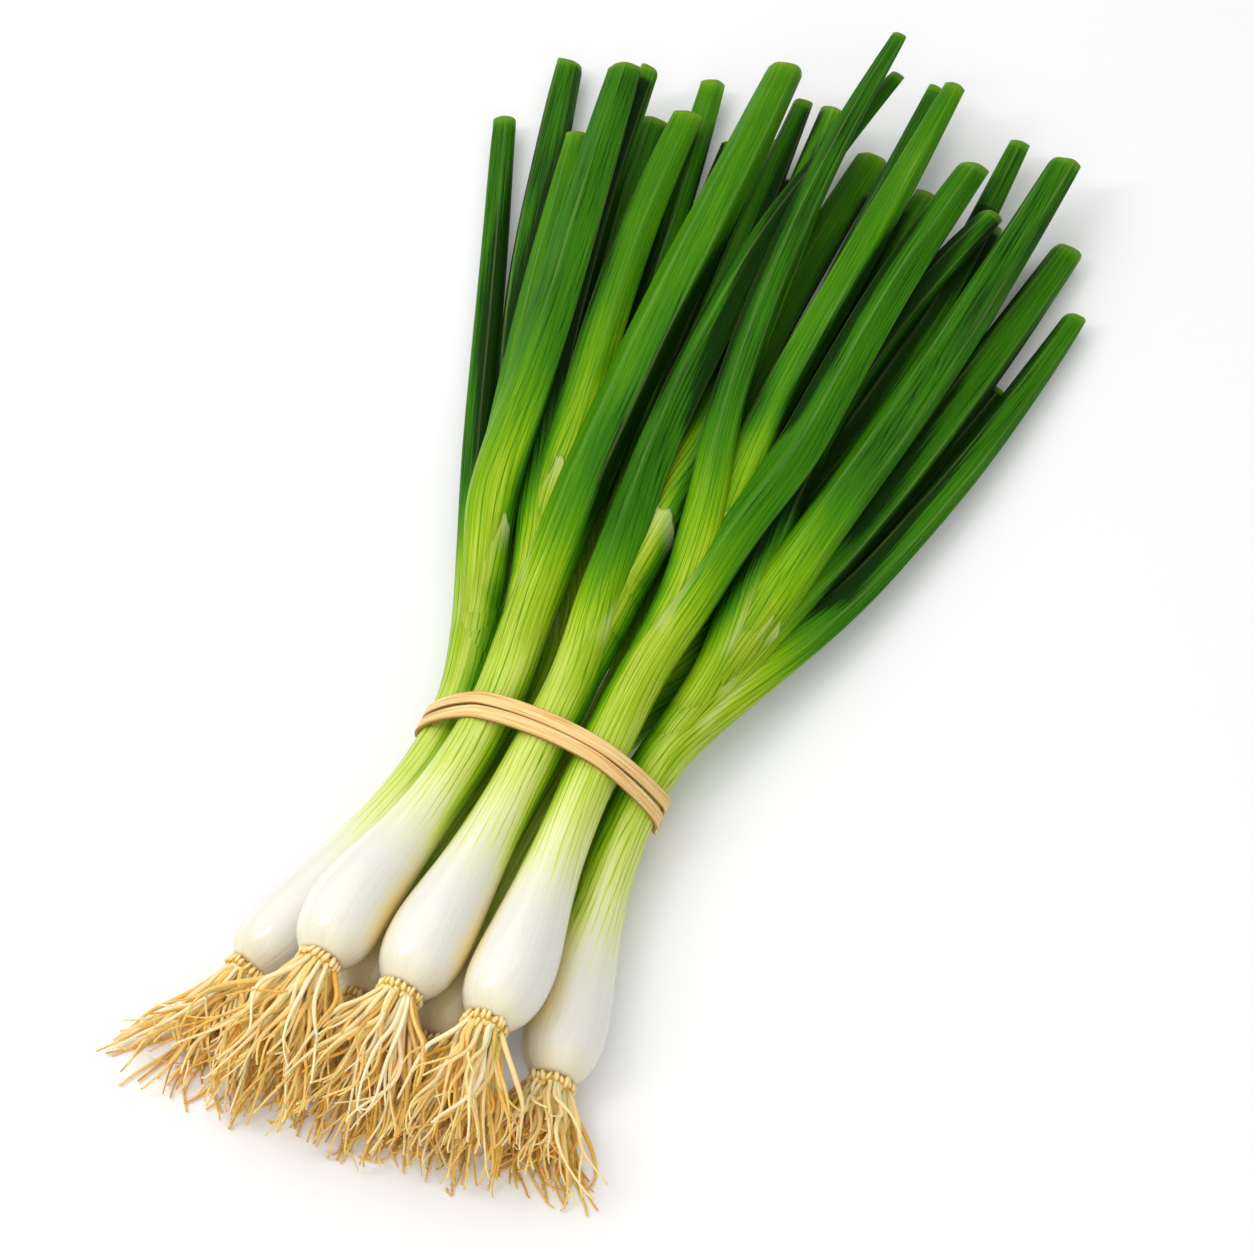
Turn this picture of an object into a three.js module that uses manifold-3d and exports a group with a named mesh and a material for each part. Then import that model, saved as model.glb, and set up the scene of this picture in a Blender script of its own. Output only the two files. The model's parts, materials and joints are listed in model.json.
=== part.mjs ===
// A tied bunch of seven spring onions lying on a table, cut leaf ends at +Y and roots at -Y.
// Millimetres, +Z up. Each onion is a fused shoot (bulb, stem and hollow leaves) and a fused
// root tuft; one elastic tie is wound twice round the stems.
import * as THREE from "three";
import Module from "manifold-3d";

// ---------------------------------------------------------------- driving sizes
const BULB_RADIUS = 12.1;
const TIE_Y = 3;
const GAP = 0.8;
const LEAF_WALL = 0.9;
const LEAF_RECESS = 7;
const LEAF_FLATNESS = 0.6;
const LEAF_MIDDLE_WIDTH = 4.7;
const LEAF_MIDDLE_GAIN = 1;
const HEART_MARGIN = 0.4;
const SHEATH_STEP = 0.45;
const SPREAD_LENGTH = 54;
const MIDDLE_Y = 130;

const STEM_SIDES = 12;
const LEAF_SIDES = 8;
const STATION_STEP = 6;
const FIRST_STATION = -90;
const STATION_COUNT = 65;
const RELAX_ROUNDS = 420;
const SETTLE_ROUNDS = 140;

const TIE_WIDTH = 4.2;
const TIE_THICKNESS = 1.2;
const TIE_PITCH = 4.7;
const TIE_CLEARANCE = 0.45;
const TIE_STEPS = 48;

const ROOT_STATIONS = 5;
const ROOTS_PER_TUFT = 10;
const ROOT_RADIUS = 0.95;
const ROOT_TIP_RADIUS = 0.5;
const PLATE_RADIUS = 6.9;
const PLATE_DEPTH = 3.2;
const KNOB_COUNT = 9;

// Radius of the bulb and neck against the distance from the root plate.
const BULB_PROFILE = [
  [0, 0.5], [1.6, 0.64], [4.5, 0.81], [9, 0.94], [15, 1], [22, 0.975],
  [32, 0.87], [44, 0.745], [56, 0.665], [70, 0.625], [98, 0.61],
];

// Leaves run from the outermost sheath to the heart. Each has the place where it leaves the
// stem, its width at the cut, the spot where it was cut, its place half way along and its width
// there, where a leaf is broadest.
const leaf = (splitY, tipWidth, tip, middle, width = LEAF_MIDDLE_WIDTH + LEAF_MIDDLE_GAIN * tipWidth) =>
  ({ splitY, tipWidth, tip, middle, width });

const ONIONS = [
  {
    plate: [-51, -88, 10.8], tied: [-26, 15], reach: 46, fan: -2,
    leaves: [
      leaf(30, 7.4, [-116.5, 223, 6], [-77, 130, 8], 9),
      leaf(36, 9.0, [-107, 253, 7], [-71, 130, 10]),
      leaf(42, 6.0, [-90, 221, 15], [-66, 130, 17]),
      leaf(54, 10.8, [-84, 246, 22], [-59, 130, 26]),
    ],
  },
  {
    plate: [-27, -88, 34], tied: [-16.5, 27], reach: 46, fan: -6,
    leaves: [
      leaf(42, 11.4, [-37, 265, 24], [-30, 130, 31]),
      leaf(66, 6.7, [-79, 253, 17], [-57, 130, 21]),
      leaf(60, 8.1, [-61, 263, 7], [-36, 130, 12]),
      leaf(78, 9.9, [-60, 241, 16], [-49, 130, 21]),
    ],
  },
  {
    plate: [-3, -87, 33], tied: [-1.5, 30], reach: 43, fan: -1,
    leaves: [
      leaf(30, 5.2, [-5, 280, 20], [-18, 130, 32], 14.6),
      leaf(48, 8.7, [-31, 249, 7], [-21, 130, 13]),
      leaf(60, 6.3, [-29, 261, 16], [-15, 130, 20], 12),
      leaf(72, 11.0, [-18, 262, 15], [-5, 130, 25]),
    ],
  },
  {
    plate: [22, -86, 32], tied: [13, 26], reach: 39, fan: 4,
    leaves: [
      leaf(42, 9.9, [31, 256, 19], [21, 130, 27]),
      leaf(66, 4.9, [-8, 289, 28], [-1, 130, 33], 12),
      leaf(60, 5.8, [7, 284, 15], [11, 130, 22]),
      leaf(78, 6.9, [14, 281, 22], [14, 130, 29], 13),
    ],
  },
  {
    plate: [41, -85, 10.8], tied: [23, 15], reach: 33, fan: 4,
    leaves: [
      leaf(24, 7.2, [78.5, 224, 6], [62.5, 130, 9], 12.2),
      leaf(36, 9.6, [67, 247, 6], [49, 130, 12], 14),
      leaf(48, 7.4, [41, 243, 15], [22, 130, 24]),
      leaf(60, 10.1, [56, 271, 17], [45, 130, 22]),
    ],
  },
  {
    plate: [-17, -84, 11.5], tied: [-11.5, 10.5], reach: 44, fan: -4,
    leaves: [
      leaf(36, 7.4, [-88, 230, 5], [-62, 130, 7], 12.6),
      leaf(54, 10.1, [-72, 242, 6], [-49, 130, 8], 14.6),
      leaf(66, 9.4, [-45, 245, 6], [-33, 130, 7], 14.6),
      leaf(72, 9.4, [-24, 238, 6], [-20, 130, 7], 14.6),
    ],
  },
  {
    plate: [8, -88, 11.5], tied: [5, 10.5], reach: 38, fan: 3,
    leaves: [
      leaf(18, 6.7, [66, 190, 5], [55, 130, 7], 12.6),
      leaf(24, 9.0, [8, 242, 5], [6, 130, 7], 14),
      leaf(30, 7.2, [53, 241, 6], [41, 130, 8], 12.6),
      leaf(36, 10.1, [-3, 256, 6], [-4, 130, 8], 14.6),
      leaf(42, 8.7, [41, 246, 6], [31, 130, 8], 13.8),
      leaf(48, 6.9, [38, 278, 10], [31, 130, 14], 12.2),
      leaf(72, 9.6, [19, 250, 6], [17, 130, 8], 14.6),
    ],
  },
];

// ---------------------------------------------------------------- small helpers
const clamp01 = (value) => Math.min(1, Math.max(0, value));
const smooth = (value) => clamp01(value) ** 2 * (3 - 2 * clamp01(value));
const mix = (from, to, share) => from + (to - from) * share;
const stationY = (index) => FIRST_STATION + index * STATION_STEP;
const stationOf = (y) => Math.round((y - FIRST_STATION) / STATION_STEP);

// Repeatable pseudo-random numbers between 0 and 1.
function seededDraws(seed) {
  let state = seed;
  return () => {
    state = (state * 16807) % 2147483647;
    return state / 2147483647;
  };
}

// Value of a piecewise linear curve given as [position, value] pairs.
function curveAt(curve, position) {
  if (position <= curve[0][0]) return curve[0][1];
  for (let i = 1; i < curve.length; i++) {
    const [start, from] = curve[i - 1];
    const [end, to] = curve[i];
    if (position <= end) return mix(from, to, (position - start) / (end - start));
  }
  return curve[curve.length - 1][1];
}

// Smooth curve through three points: start, middle and end, by the height along Y.
function throughThree(start, middle, end, y) {
  const a = (y - middle[0]) * (y - end[0]) / ((start[0] - middle[0]) * (start[0] - end[0]));
  const b = (y - start[0]) * (y - end[0]) / ((middle[0] - start[0]) * (middle[0] - end[0]));
  const c = (y - start[0]) * (y - middle[0]) / ((end[0] - start[0]) * (end[0] - middle[0]));
  return start[1] * a + middle[1] * b + end[1] * c;
}

// Height of a cross-section against its width: round stems, slightly flattened leaves.
const flatness = (y) => mix(1, LEAF_FLATNESS, clamp01((y - 24) / 90));

// ---------------------------------------------------------------- strands
// A strand is the run of one stem or leaf through the stations along Y.
function stemRadius(onion, y) {
  const heart = onion.leaves[onion.leaves.length - 1];
  const bulb = BULB_RADIUS * curveAt(BULB_PROFILE, y - onion.plate[1]);
  const above = smooth((y - TIE_Y - 6) / (heart.splitY - TIE_Y - 6));
  return mix(bulb, heart.width / 2 + HEART_MARGIN, above);
}

function leafRadius(onion, one, y) {
  const root = stemRadius(onion, one.splitY) + SHEATH_STEP;
  const narrowing = smooth((y - one.splitY) / SPREAD_LENGTH);
  const blade = mix(one.width, one.tipWidth, clamp01((y - MIDDLE_Y) / (one.tip[1] - MIDDLE_Y)) ** 2) / 2;
  return mix(root, blade, narrowing);
}

function stemTarget(onion, y) {
  const heart = onion.leaves[onion.leaves.length - 1];
  const [x, plateY, z] = onion.plate;
  if (y <= TIE_Y) {
    const share = (y - plateY) / (TIE_Y - plateY);
    return [mix(x, onion.tied[0], share), mix(z, onion.tied[1], share)];
  }
  const across = throughThree([TIE_Y, onion.tied[0]], [heart.middle[1], heart.middle[0]],
    [heart.tip[1], heart.tip[0]], y);
  const up = throughThree([TIE_Y, onion.tied[1]], [heart.middle[1], heart.middle[2]],
    [heart.tip[1], heart.tip[2]], y);
  return [across, up];
}

function leafTarget(onion, one, y) {
  const [x, z] = stemTarget(onion, one.splitY);
  return [
    throughThree([one.splitY, x], [one.middle[1], one.middle[0]], [one.tip[1], one.tip[0]], y),
    throughThree([one.splitY, z], [one.middle[1], one.middle[2]], [one.tip[1], one.tip[2]], y),
  ];
}

function makeStrand(owner, parent, first, last, radiusAt, targetAt, free) {
  const strand = { owner, parent, first, last, free, radius: [], x: [], z: [], goal: [] };
  for (let k = first; k <= last; k++) {
    const goal = targetAt(stationY(k));
    strand.radius[k] = radiusAt(stationY(k));
    strand.goal[k] = goal;
    strand.x[k] = goal[0];
    strand.z[k] = goal[1];
  }
  return strand;
}

function makeStrands() {
  const strands = [];
  ONIONS.forEach((onion, owner) => {
    const heart = onion.leaves[onion.leaves.length - 1];
    const stem = makeStrand(owner, null, stationOf(onion.plate[1]), stationOf(heart.splitY),
      (y) => stemRadius(onion, y), (y) => stemTarget(onion, y), -1);
    strands.push(stem);
    for (const one of onion.leaves) {
      const first = stationOf(one.splitY);
      strands.push(makeStrand(owner, stem, first, stationOf(one.tip[1]),
        (y) => leafRadius(onion, one, y), (y) => leafTarget(onion, one, y),
        first + Math.round(42 / STATION_STEP)));
    }
  });
  return strands;
}

// Two strands keep apart unless they belong to one onion and are still joined there.
function keepApart(a, b, k) {
  if (k < a.first || k > a.last || k < b.first || k > b.last) return false;
  return a.owner !== b.owner || (k >= a.free && k >= b.free && a.free > 0 && b.free > 0);
}

function pushStrandsApart(strands, strength) {
  for (let k = 0; k < STATION_COUNT; k++) {
    const flat = flatness(stationY(k));
    for (const strand of strands) {
      strand.pushX = 0;
      strand.pushZ = 0;
    }
    for (let i = 0; i < strands.length; i++) {
      for (let j = i + 1; j < strands.length; j++) {
        const a = strands[i];
        const b = strands[j];
        if (!keepApart(a, b, k)) continue;
        const dx = b.x[k] - a.x[k];
        const dz = (b.z[k] - a.z[k]) / flat;
        const far = Math.sqrt(dx * dx + dz * dz) + 1e-6;
        const wanted = a.radius[k] + b.radius[k] + (a.owner === b.owner ? 0.2 : GAP);
        if (far >= wanted) continue;
        const push = strength * (wanted - far) / far;
        a.pushX -= dx * push;
        b.pushX += dx * push;
        a.pushZ -= dz * push * flat;
        b.pushZ += dz * push * flat;
      }
    }
    for (const strand of strands) {
      if (k < strand.first || k > strand.last) continue;
      strand.x[k] += strand.pushX;
      strand.z[k] += strand.pushZ;
      const floor = strand.radius[k] * flat * Math.cos(Math.PI / STEM_SIDES) - 0.25;
      strand.z[k] = Math.max(strand.z[k], k < stationOf(-40) ? floor : floor + 0.4);
    }
  }
}

function straighten(strand, strength) {
  for (const axis of ["x", "z"]) {
    const old = strand[axis].slice();
    for (let k = strand.first; k <= strand.last; k++) {
      const before = k > strand.first ? old[k - 1] : 2 * old[k] - old[k + 1];
      const after = k < strand.last ? old[k + 1] : 2 * old[k] - old[k - 1];
      strand[axis][k] += strength * ((before + after) / 2 - old[k]);
    }
  }
}

// The tie holds every stem close to its place in the bundle.
function holdInTie(strand, strength) {
  if (strand.parent) return;
  const k = stationOf(TIE_Y);
  for (let near = k - 1; near <= k + 1; near++) {
    strand.x[near] += strength * (strand.goal[k][0] - strand.x[near]);
    strand.z[near] += strength * (strand.goal[k][1] - strand.z[near]);
  }
}

// A leaf starts where its stem is, heading the way the stem heads.
function joinToStem(strand) {
  if (!strand.parent) return;
  for (let k = strand.first; k <= Math.min(strand.first + 1, strand.parent.last); k++) {
    strand.x[k] = strand.parent.x[k];
    strand.z[k] = strand.parent.z[k];
  }
}

function relax(strands) {
  for (let round = 0; round < RELAX_ROUNDS + SETTLE_ROUNDS; round++) {
    const pull = round < RELAX_ROUNDS ? 0.08 * (1 - round / RELAX_ROUNDS) : 0;
    const stiff = round < RELAX_ROUNDS ? 0.5 : 0.12;
    for (const strand of strands) {
      for (let k = strand.first; k <= strand.last; k++) {
        strand.x[k] += pull * (strand.goal[k][0] - strand.x[k]);
        strand.z[k] += pull * (strand.goal[k][1] - strand.z[k]);
      }
      straighten(strand, stiff);
      holdInTie(strand, round < RELAX_ROUNDS ? 0.5 : 0);
      joinToStem(strand);
    }
    pushStrandsApart(strands, 0.4);
  }
  strands.forEach(joinToStem);
  return strands;
}

function strandAt(strand, y) {
  const place = (y - FIRST_STATION) / STATION_STEP;
  const k = Math.max(strand.first, Math.min(strand.last - 1, Math.floor(place)));
  const share = place - k;
  return [mix(strand.x[k], strand.x[k + 1], share), mix(strand.z[k], strand.z[k + 1], share)];
}

// ---------------------------------------------------------------- closed meshes
// Skin over rings of equal length with a fan at each end.
function skin(rings, startCentre, endCentre) {
  const positions = [];
  const faces = [];
  const sides = rings[0].length;
  for (const ring of rings) {
    for (const point of ring) positions.push(...point);
  }
  const startIndex = positions.length / 3;
  positions.push(...startCentre, ...endCentre);
  for (let i = 0; i < sides; i++) {
    const next = (i + 1) % sides;
    faces.push(startIndex, next, i);
    const last = (rings.length - 1) * sides;
    faces.push(startIndex + 1, last + i, last + next);
    for (let r = 0; r + 1 < rings.length; r++) {
      const low = r * sides;
      const high = low + sides;
      faces.push(low + i, low + next, high + i);
      faces.push(low + next, high + next, high + i);
    }
  }
  return { positions, faces };
}

function signedVolume({ positions, faces }) {
  let volume = 0;
  for (let f = 0; f < faces.length; f += 3) {
    const [a, b, c] = [0, 1, 2].map((n) => new THREE.Vector3().fromArray(positions, faces[f + n] * 3));
    volume += a.dot(b.cross(c)) / 6;
  }
  return volume;
}

const wasm = await Module();
wasm.setup();

// Solid body of a closed skin, whichever way round its faces were listed.
function toSolid(surface) {
  if (signedVolume(surface) < 0) {
    for (let f = 0; f < surface.faces.length; f += 3) {
      [surface.faces[f + 1], surface.faces[f + 2]] = [surface.faces[f + 2], surface.faces[f + 1]];
    }
  }
  return new wasm.Manifold(new wasm.Mesh({
    numProp: 3,
    vertProperties: new Float32Array(surface.positions),
    triVerts: new Uint32Array(surface.faces),
  }));
}

function toMesh(name, solid, material) {
  const mesh = solid.getMesh();
  const geometry = new THREE.BufferGeometry();
  geometry.setAttribute("position", new THREE.BufferAttribute(new Float32Array(mesh.vertProperties), 3));
  geometry.setIndex(new THREE.BufferAttribute(new Uint32Array(mesh.triVerts), 1));
  geometry.computeVertexNormals();
  const node = new THREE.Mesh(geometry, material);
  node.name = name;
  return node;
}

const fuse = (solids) => solids.reduce((whole, solid) => whole.add(solid));

// Cross-section with a flat side down, leaning with the slope of its run.
function section(centre, radius, flat, sides, lean) {
  const ring = [];
  for (let i = 0; i < sides; i++) {
    const angle = 2 * Math.PI * (i + 0.5) / sides - Math.PI / 2;
    const across = radius * Math.cos(angle);
    const up = radius * flat * Math.sin(angle);
    const back = lean ? -(across * lean[0] + up * lean[1]) : 0;
    ring.push([centre[0] + across, centre[1] + back, centre[2] + up]);
  }
  return ring;
}

// ---------------------------------------------------------------- shoots
// Slope of a bulb across and up for each millimetre along Y.
function bulbSlope(onion) {
  const run = TIE_Y - onion.plate[1];
  return [(onion.tied[0] - onion.plate[0]) / run, (onion.tied[1] - onion.plate[2]) / run];
}

function stemSolid(onion, strand) {
  const plateY = onion.plate[1];
  const heart = onion.leaves[onion.leaves.length - 1];
  const heights = BULB_PROFILE.map(([along]) => plateY + along).filter((y) => y < -24);
  for (let y = -18; y <= heart.splitY + 6; y += 12) heights.push(y);
  const rings = heights.map((y) => {
    const [x, z] = strandAt(strand, Math.min(y, stationY(strand.last)));
    const fade = 1 - smooth((y - plateY - 30) / 50);
    const lean = bulbSlope(onion).map((slope) => slope * fade);
    return section([x, y, z], stemRadius(onion, y), flatness(y), STEM_SIDES, lean);
  });
  return endedSolid(rings);
}

function ringCentre(ring) {
  return [0, 1, 2].map((axis) => ring.reduce((sum, point) => sum + point[axis], 0) / ring.length);
}

const endedSolid = (rings) => toSolid(skin(rings, ringCentre(rings[0]), ringCentre(rings[rings.length - 1])));

// Heights of the leaf rings: the same for every leaf, closer together where leaves part.
function leafHeights(one) {
  const heights = [];
  const step = (y) => (y < 96 ? 12 : 30);
  for (let y = one.splitY; y < one.tip[1] - 8; y += step(y)) {
    const shared = y - ((y - FIRST_STATION) % STATION_STEP);
    if (heights.length === 0 || shared > heights[heights.length - 1]) heights.push(shared);
  }
  return heights;
}

// A hollow leaf: closed tube, open at the slanting cut.
function leafSolid(onion, one, strand, slant) {
  const start = one.splitY - 12;
  const [stemX, stemZ] = strandAt(strand.parent, start);
  const rings = [section([stemX, start, stemZ], stemRadius(onion, start) * 0.9, flatness(start), LEAF_SIDES)];
  for (const y of leafHeights(one)) {
    const [x, z] = strandAt(strand, y);
    rings.push(section([x, y, z], leafRadius(onion, one, y), flatness(y), LEAF_SIDES));
  }
  const end = one.tip[1];
  const [x, z] = strandAt(strand, Math.min(end, stationY(strand.last)));
  const flat = flatness(end);
  const radius = one.tipWidth / 2;
  const inner = radius - LEAF_WALL;
  rings.push(section([x, end, z], radius, flat, LEAF_SIDES, slant));
  rings.push(section([x, end, z], inner, flat, LEAF_SIDES, slant));
  const [deepX, deepZ] = strandAt(strand, end - LEAF_RECESS);
  rings.push(section([deepX, end - LEAF_RECESS, deepZ], inner * 0.9, flat, LEAF_SIDES));
  return endedSolid(rings);
}

function shootSolid(onion, owner, strands) {
  const own = strands.filter((strand) => strand.owner === owner);
  const draw = seededDraws(101 + owner * 37);
  const solids = [stemSolid(onion, own[0])];
  onion.leaves.forEach((one, index) => {
    const slant = [(draw() - 0.5) * 0.5, (draw() - 0.5) * 0.5];
    solids.push(leafSolid(onion, one, own[index + 1], slant));
  });
  return fuse(solids).trimByPlane([0, 0, 1], 0);
}

// ---------------------------------------------------------------- roots
// Middle of a root tuft at a distance from its plate: it droops and spreads away from the rest.
function tuftCentre(onion, along) {
  const [x, y, z] = onion.plate;
  const share = along / onion.reach;
  const droop = z > 20 ? 20 * share ** 1.5 : 6.5 * share;
  return [x + onion.fan * share, y - along, z - droop];
}

// Keeps a root point in the room of its own tuft and off the table.
function inOwnRoom(owner, point, margin) {
  const along = Math.max(0, ONIONS[owner].plate[1] - point[1]);
  const own = tuftCentre(ONIONS[owner], along);
  const kept = point.slice();
  for (let pass = 0; pass < 3; pass++) {
    ONIONS.forEach((other, index) => {
      if (index === owner) return;
      const centre = tuftCentre(other, along);
      const dx = centre[0] - own[0];
      const dz = centre[2] - own[2];
      const far = Math.sqrt(dx * dx + dz * dz);
      const over = ((kept[0] - own[0]) * dx + (kept[2] - own[2]) * dz) / far - far / 2 + margin;
      if (over > 0) {
        kept[0] -= dx / far * over;
        kept[2] -= dz / far * over;
      }
    });
    kept[2] = Math.max(kept[2], margin);
  }
  return kept;
}

function rootSolid(points, radii) {
  const rings = points.map((point, index) => section(point, radii[index], 1, 3));
  return endedSolid(rings);
}

// One wavy root and its fork, from the plate to the table.
function rootWithFork(owner, index, draw) {
  const onion = ONIONS[owner];
  const angle = 2 * Math.PI * (index + 0.6 * draw()) / ROOTS_PER_TUFT;
  const ring = index % 3 === 0 ? 0.35 : 0.78;
  const spread = 6 + 12 * draw();
  const reach = onion.reach * (0.72 + 0.28 * draw());
  const sway = [(draw() - 0.5) * 5, (draw() - 0.5) * 4];
  const phase = draw() * 6.3;
  const points = [];
  const radii = [];
  for (let s = 0; s < ROOT_STATIONS; s++) {
    const share = s / (ROOT_STATIONS - 1);
    const along = s === 0 ? 1.2 : share * reach + 1.2;
    const centre = tuftCentre(onion, along);
    const out = PLATE_RADIUS * ring + spread * share ** 0.9;
    const wave = Math.sin(phase + share * 7);
    const x = centre[0] + Math.cos(angle) * out + sway[0] * wave * share;
    const z = centre[2] + Math.sin(angle) * out * 0.8 + sway[1] * wave * share;
    points.push(inOwnRoom(owner, [x, centre[1], z], 1.5));
    radii.push(mix(ROOT_RADIUS, ROOT_TIP_RADIUS, share));
  }
  const forkAt = 2;
  const forkPoints = [points[forkAt]];
  const forkRadii = [radii[forkAt] * 0.8];
  const turn = draw() < 0.5 ? -1 : 1;
  for (let s = forkAt + 1; s < ROOT_STATIONS; s++) {
    const away = (s - forkAt) * 2.6 * turn;
    const [x, y, z] = points[s];
    forkPoints.push(inOwnRoom(owner, [x + away, y, z + Math.abs(away) * 0.4], 1.5));
    forkRadii.push(ROOT_TIP_RADIUS);
  }
  return rootSolid(points, radii).add(rootSolid(forkPoints, forkRadii));
}

// Root plate with a ring of knobs where the roots come out.
function plateSolid(onion, draw) {
  const [x, y, z] = onion.plate;
  const lean = bulbSlope(onion);
  const knobs = Array.from({ length: KNOB_COUNT * 2 }, (_, i) => (i % 2 ? 1.02 + 0.14 * draw() : 0.9));
  const rings = [[0.45, 0.84], [1.6, 1.0], [PLATE_DEPTH, 0.66]].map(([along, share]) => {
    const ring = section([0, 0, 0], PLATE_RADIUS * share, 1, KNOB_COUNT * 2, lean);
    return ring.map((point, i) =>
      [x + point[0] * knobs[i], y - along + point[1] * knobs[i], z + point[2] * knobs[i]]);
  });
  return endedSolid(rings);
}

function tuftSolid(onion, owner) {
  const draw = seededDraws(907 + owner * 61);
  const solids = [plateSolid(onion, draw)];
  for (let i = 0; i < ROOTS_PER_TUFT; i++) solids.push(rootWithFork(owner, i, draw));
  return fuse(solids).trimByPlane([0, 0, 1], 0);
}

// ---------------------------------------------------------------- tie
// Point on a belt pulled tight round the tied stems, facing the given angle.
function beltPoint(strands, angle, lift) {
  const stems = strands.filter((strand) => !strand.parent);
  const out = [Math.cos(angle), Math.sin(angle)];
  let best = null;
  for (const stem of stems) {
    const [x, z] = strandAt(stem, TIE_Y);
    const radius = stemRadius(ONIONS[stem.owner], TIE_Y);
    const reach = x * out[0] + z * out[1] + radius;
    if (!best || reach > best.reach) best = { reach, x, z, radius };
  }
  const away = best.radius + lift;
  return [best.x + out[0] * away, best.z + out[1] * away];
}

// One elastic strip wound twice, crossing over itself low on the right.
function tieSolid(strands) {
  const rings = [];
  for (let step = 0; step < TIE_STEPS * 2; step++) {
    const turns = step / TIE_STEPS;
    const angle = 2 * Math.PI * turns - 0.35;
    const inTurn = turns % 1;
    const crossing = smooth((inTurn - 0.84) / 0.14);
    const firstTurn = turns < 1;
    const side = firstTurn ? 1 - 2 * crossing : -1 + 2 * crossing;
    const over = firstTurn ? smooth((inTurn - 0.8) / 0.06) * (1 - smooth((inTurn - 0.94) / 0.06)) : 0;
    const lift = TIE_CLEARANCE + over * (TIE_THICKNESS + 0.5);
    const y = TIE_Y + side * TIE_PITCH / 2;
    const [innerX, innerZ] = beltPoint(strands, angle, lift);
    const [outerX, outerZ] = beltPoint(strands, angle, lift + TIE_THICKNESS);
    rings.push([
      [innerX, y - TIE_WIDTH / 2, innerZ],
      [innerX, y + TIE_WIDTH / 2, innerZ],
      [outerX, y + TIE_WIDTH / 2 - 0.3, outerZ],
      [outerX, y - TIE_WIDTH / 2 + 0.3, outerZ],
    ]);
  }
  const positions = rings.flat(2);
  const faces = [];
  for (let r = 0; r < rings.length; r++) {
    const after = (r + 1) % rings.length;
    for (let i = 0; i < 4; i++) {
      const next = (i + 1) % 4;
      faces.push(r * 4 + i, r * 4 + next, after * 4 + i);
      faces.push(r * 4 + next, after * 4 + next, after * 4 + i);
    }
  }
  return toSolid({ positions, faces });
}

// ---------------------------------------------------------------- the bunch
const bunch = new THREE.Group();
bunch.name = "spring_onion_bunch";
const strands = relax(makeStrands());

ONIONS.forEach((onion, owner) => {
  const green = new THREE.MeshStandardMaterial({ color: 0x5f9630, roughness: 0.45 });
  const straw = new THREE.MeshStandardMaterial({ color: 0xdcb876, roughness: 0.7 });
  bunch.add(toMesh(`onion_${owner + 1}_shoot`, shootSolid(onion, owner, strands), green));
  bunch.add(toMesh(`onion_${owner + 1}_roots`, tuftSolid(onion, owner), straw));
});
bunch.add(toMesh("tie_band", tieSolid(strands), new THREE.MeshStandardMaterial({ color: 0xdfb27a, roughness: 0.6 })));

// The origin is under the middle of the bunch, on the table.
const box = new THREE.Box3().setFromObject(bunch);
for (const node of bunch.children) {
  node.geometry.translate(-(box.min.x + box.max.x) / 2, -(box.min.y + box.max.y) / 2, -box.min.z);
}

export default bunch;
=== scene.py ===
"""Looks of a tied bunch of bulbed spring onions lying on a pale table.

The bunch's plan is in millimetres, with +Y from the roots to the cut leaf ends, and is moved onto
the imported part's own frame at the end. Meshes are in metres.
"""

import json
import logging
import math
from dataclasses import dataclass, field
from enum import Enum

import bmesh
import bpy
import numpy as np
from mathutils import Matrix, Vector

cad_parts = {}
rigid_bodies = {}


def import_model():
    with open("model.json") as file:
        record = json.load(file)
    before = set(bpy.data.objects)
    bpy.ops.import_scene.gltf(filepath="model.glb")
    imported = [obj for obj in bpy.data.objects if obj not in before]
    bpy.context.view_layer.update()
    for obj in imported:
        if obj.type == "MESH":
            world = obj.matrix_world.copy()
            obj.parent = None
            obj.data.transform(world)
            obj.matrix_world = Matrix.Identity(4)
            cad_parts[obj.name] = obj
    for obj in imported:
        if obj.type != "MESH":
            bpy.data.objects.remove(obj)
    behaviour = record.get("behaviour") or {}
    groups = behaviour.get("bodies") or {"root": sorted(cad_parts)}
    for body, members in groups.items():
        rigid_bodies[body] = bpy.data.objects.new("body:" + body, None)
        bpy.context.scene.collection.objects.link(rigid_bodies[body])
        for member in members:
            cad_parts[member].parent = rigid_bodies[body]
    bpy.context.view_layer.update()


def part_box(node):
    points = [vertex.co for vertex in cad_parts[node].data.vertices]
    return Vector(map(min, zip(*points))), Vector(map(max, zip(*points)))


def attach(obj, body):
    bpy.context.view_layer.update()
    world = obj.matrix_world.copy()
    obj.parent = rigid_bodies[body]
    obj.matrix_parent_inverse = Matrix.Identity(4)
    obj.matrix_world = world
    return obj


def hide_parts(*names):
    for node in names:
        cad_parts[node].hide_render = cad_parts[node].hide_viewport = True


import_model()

Tree = bpy.types.NodeTree
Socket = bpy.types.NodeSocket

LOG = logging.getLogger("spring_onions")
MM = 0.001

# Bunch sizes, as the solids have them.
BULB_RADIUS = 12.1
TIE_Y = 3.0
ABOVE_TIE = 6.0
STRAND_GAP = 0.8
LEAF_FLATNESS = 0.6
FLATTENS_FROM = 24.0
FLATTENS_OVER = 90.0
LEAF_MIDDLE_WIDTH = 4.7
LEAF_MIDDLE_GAIN = 1.0
HEART_MARGIN = 0.4
SHEATH_STEP = 0.45
SPREAD_LENGTH = 54.0
MIDDLE_Y = 130.0
STEM_SIDES = 12
STATION_STEP = 6
FIRST_STATION = -90
STATION_COUNT = 65
RELAX_ROUNDS = 420
SETTLE_ROUNDS = 140
PLATE_RADIUS = 6.9
ROOT_TOP = 41.5

# Onions in the front row. The rest lie under them, in their shade.
FRONT_COUNT = 5
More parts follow.
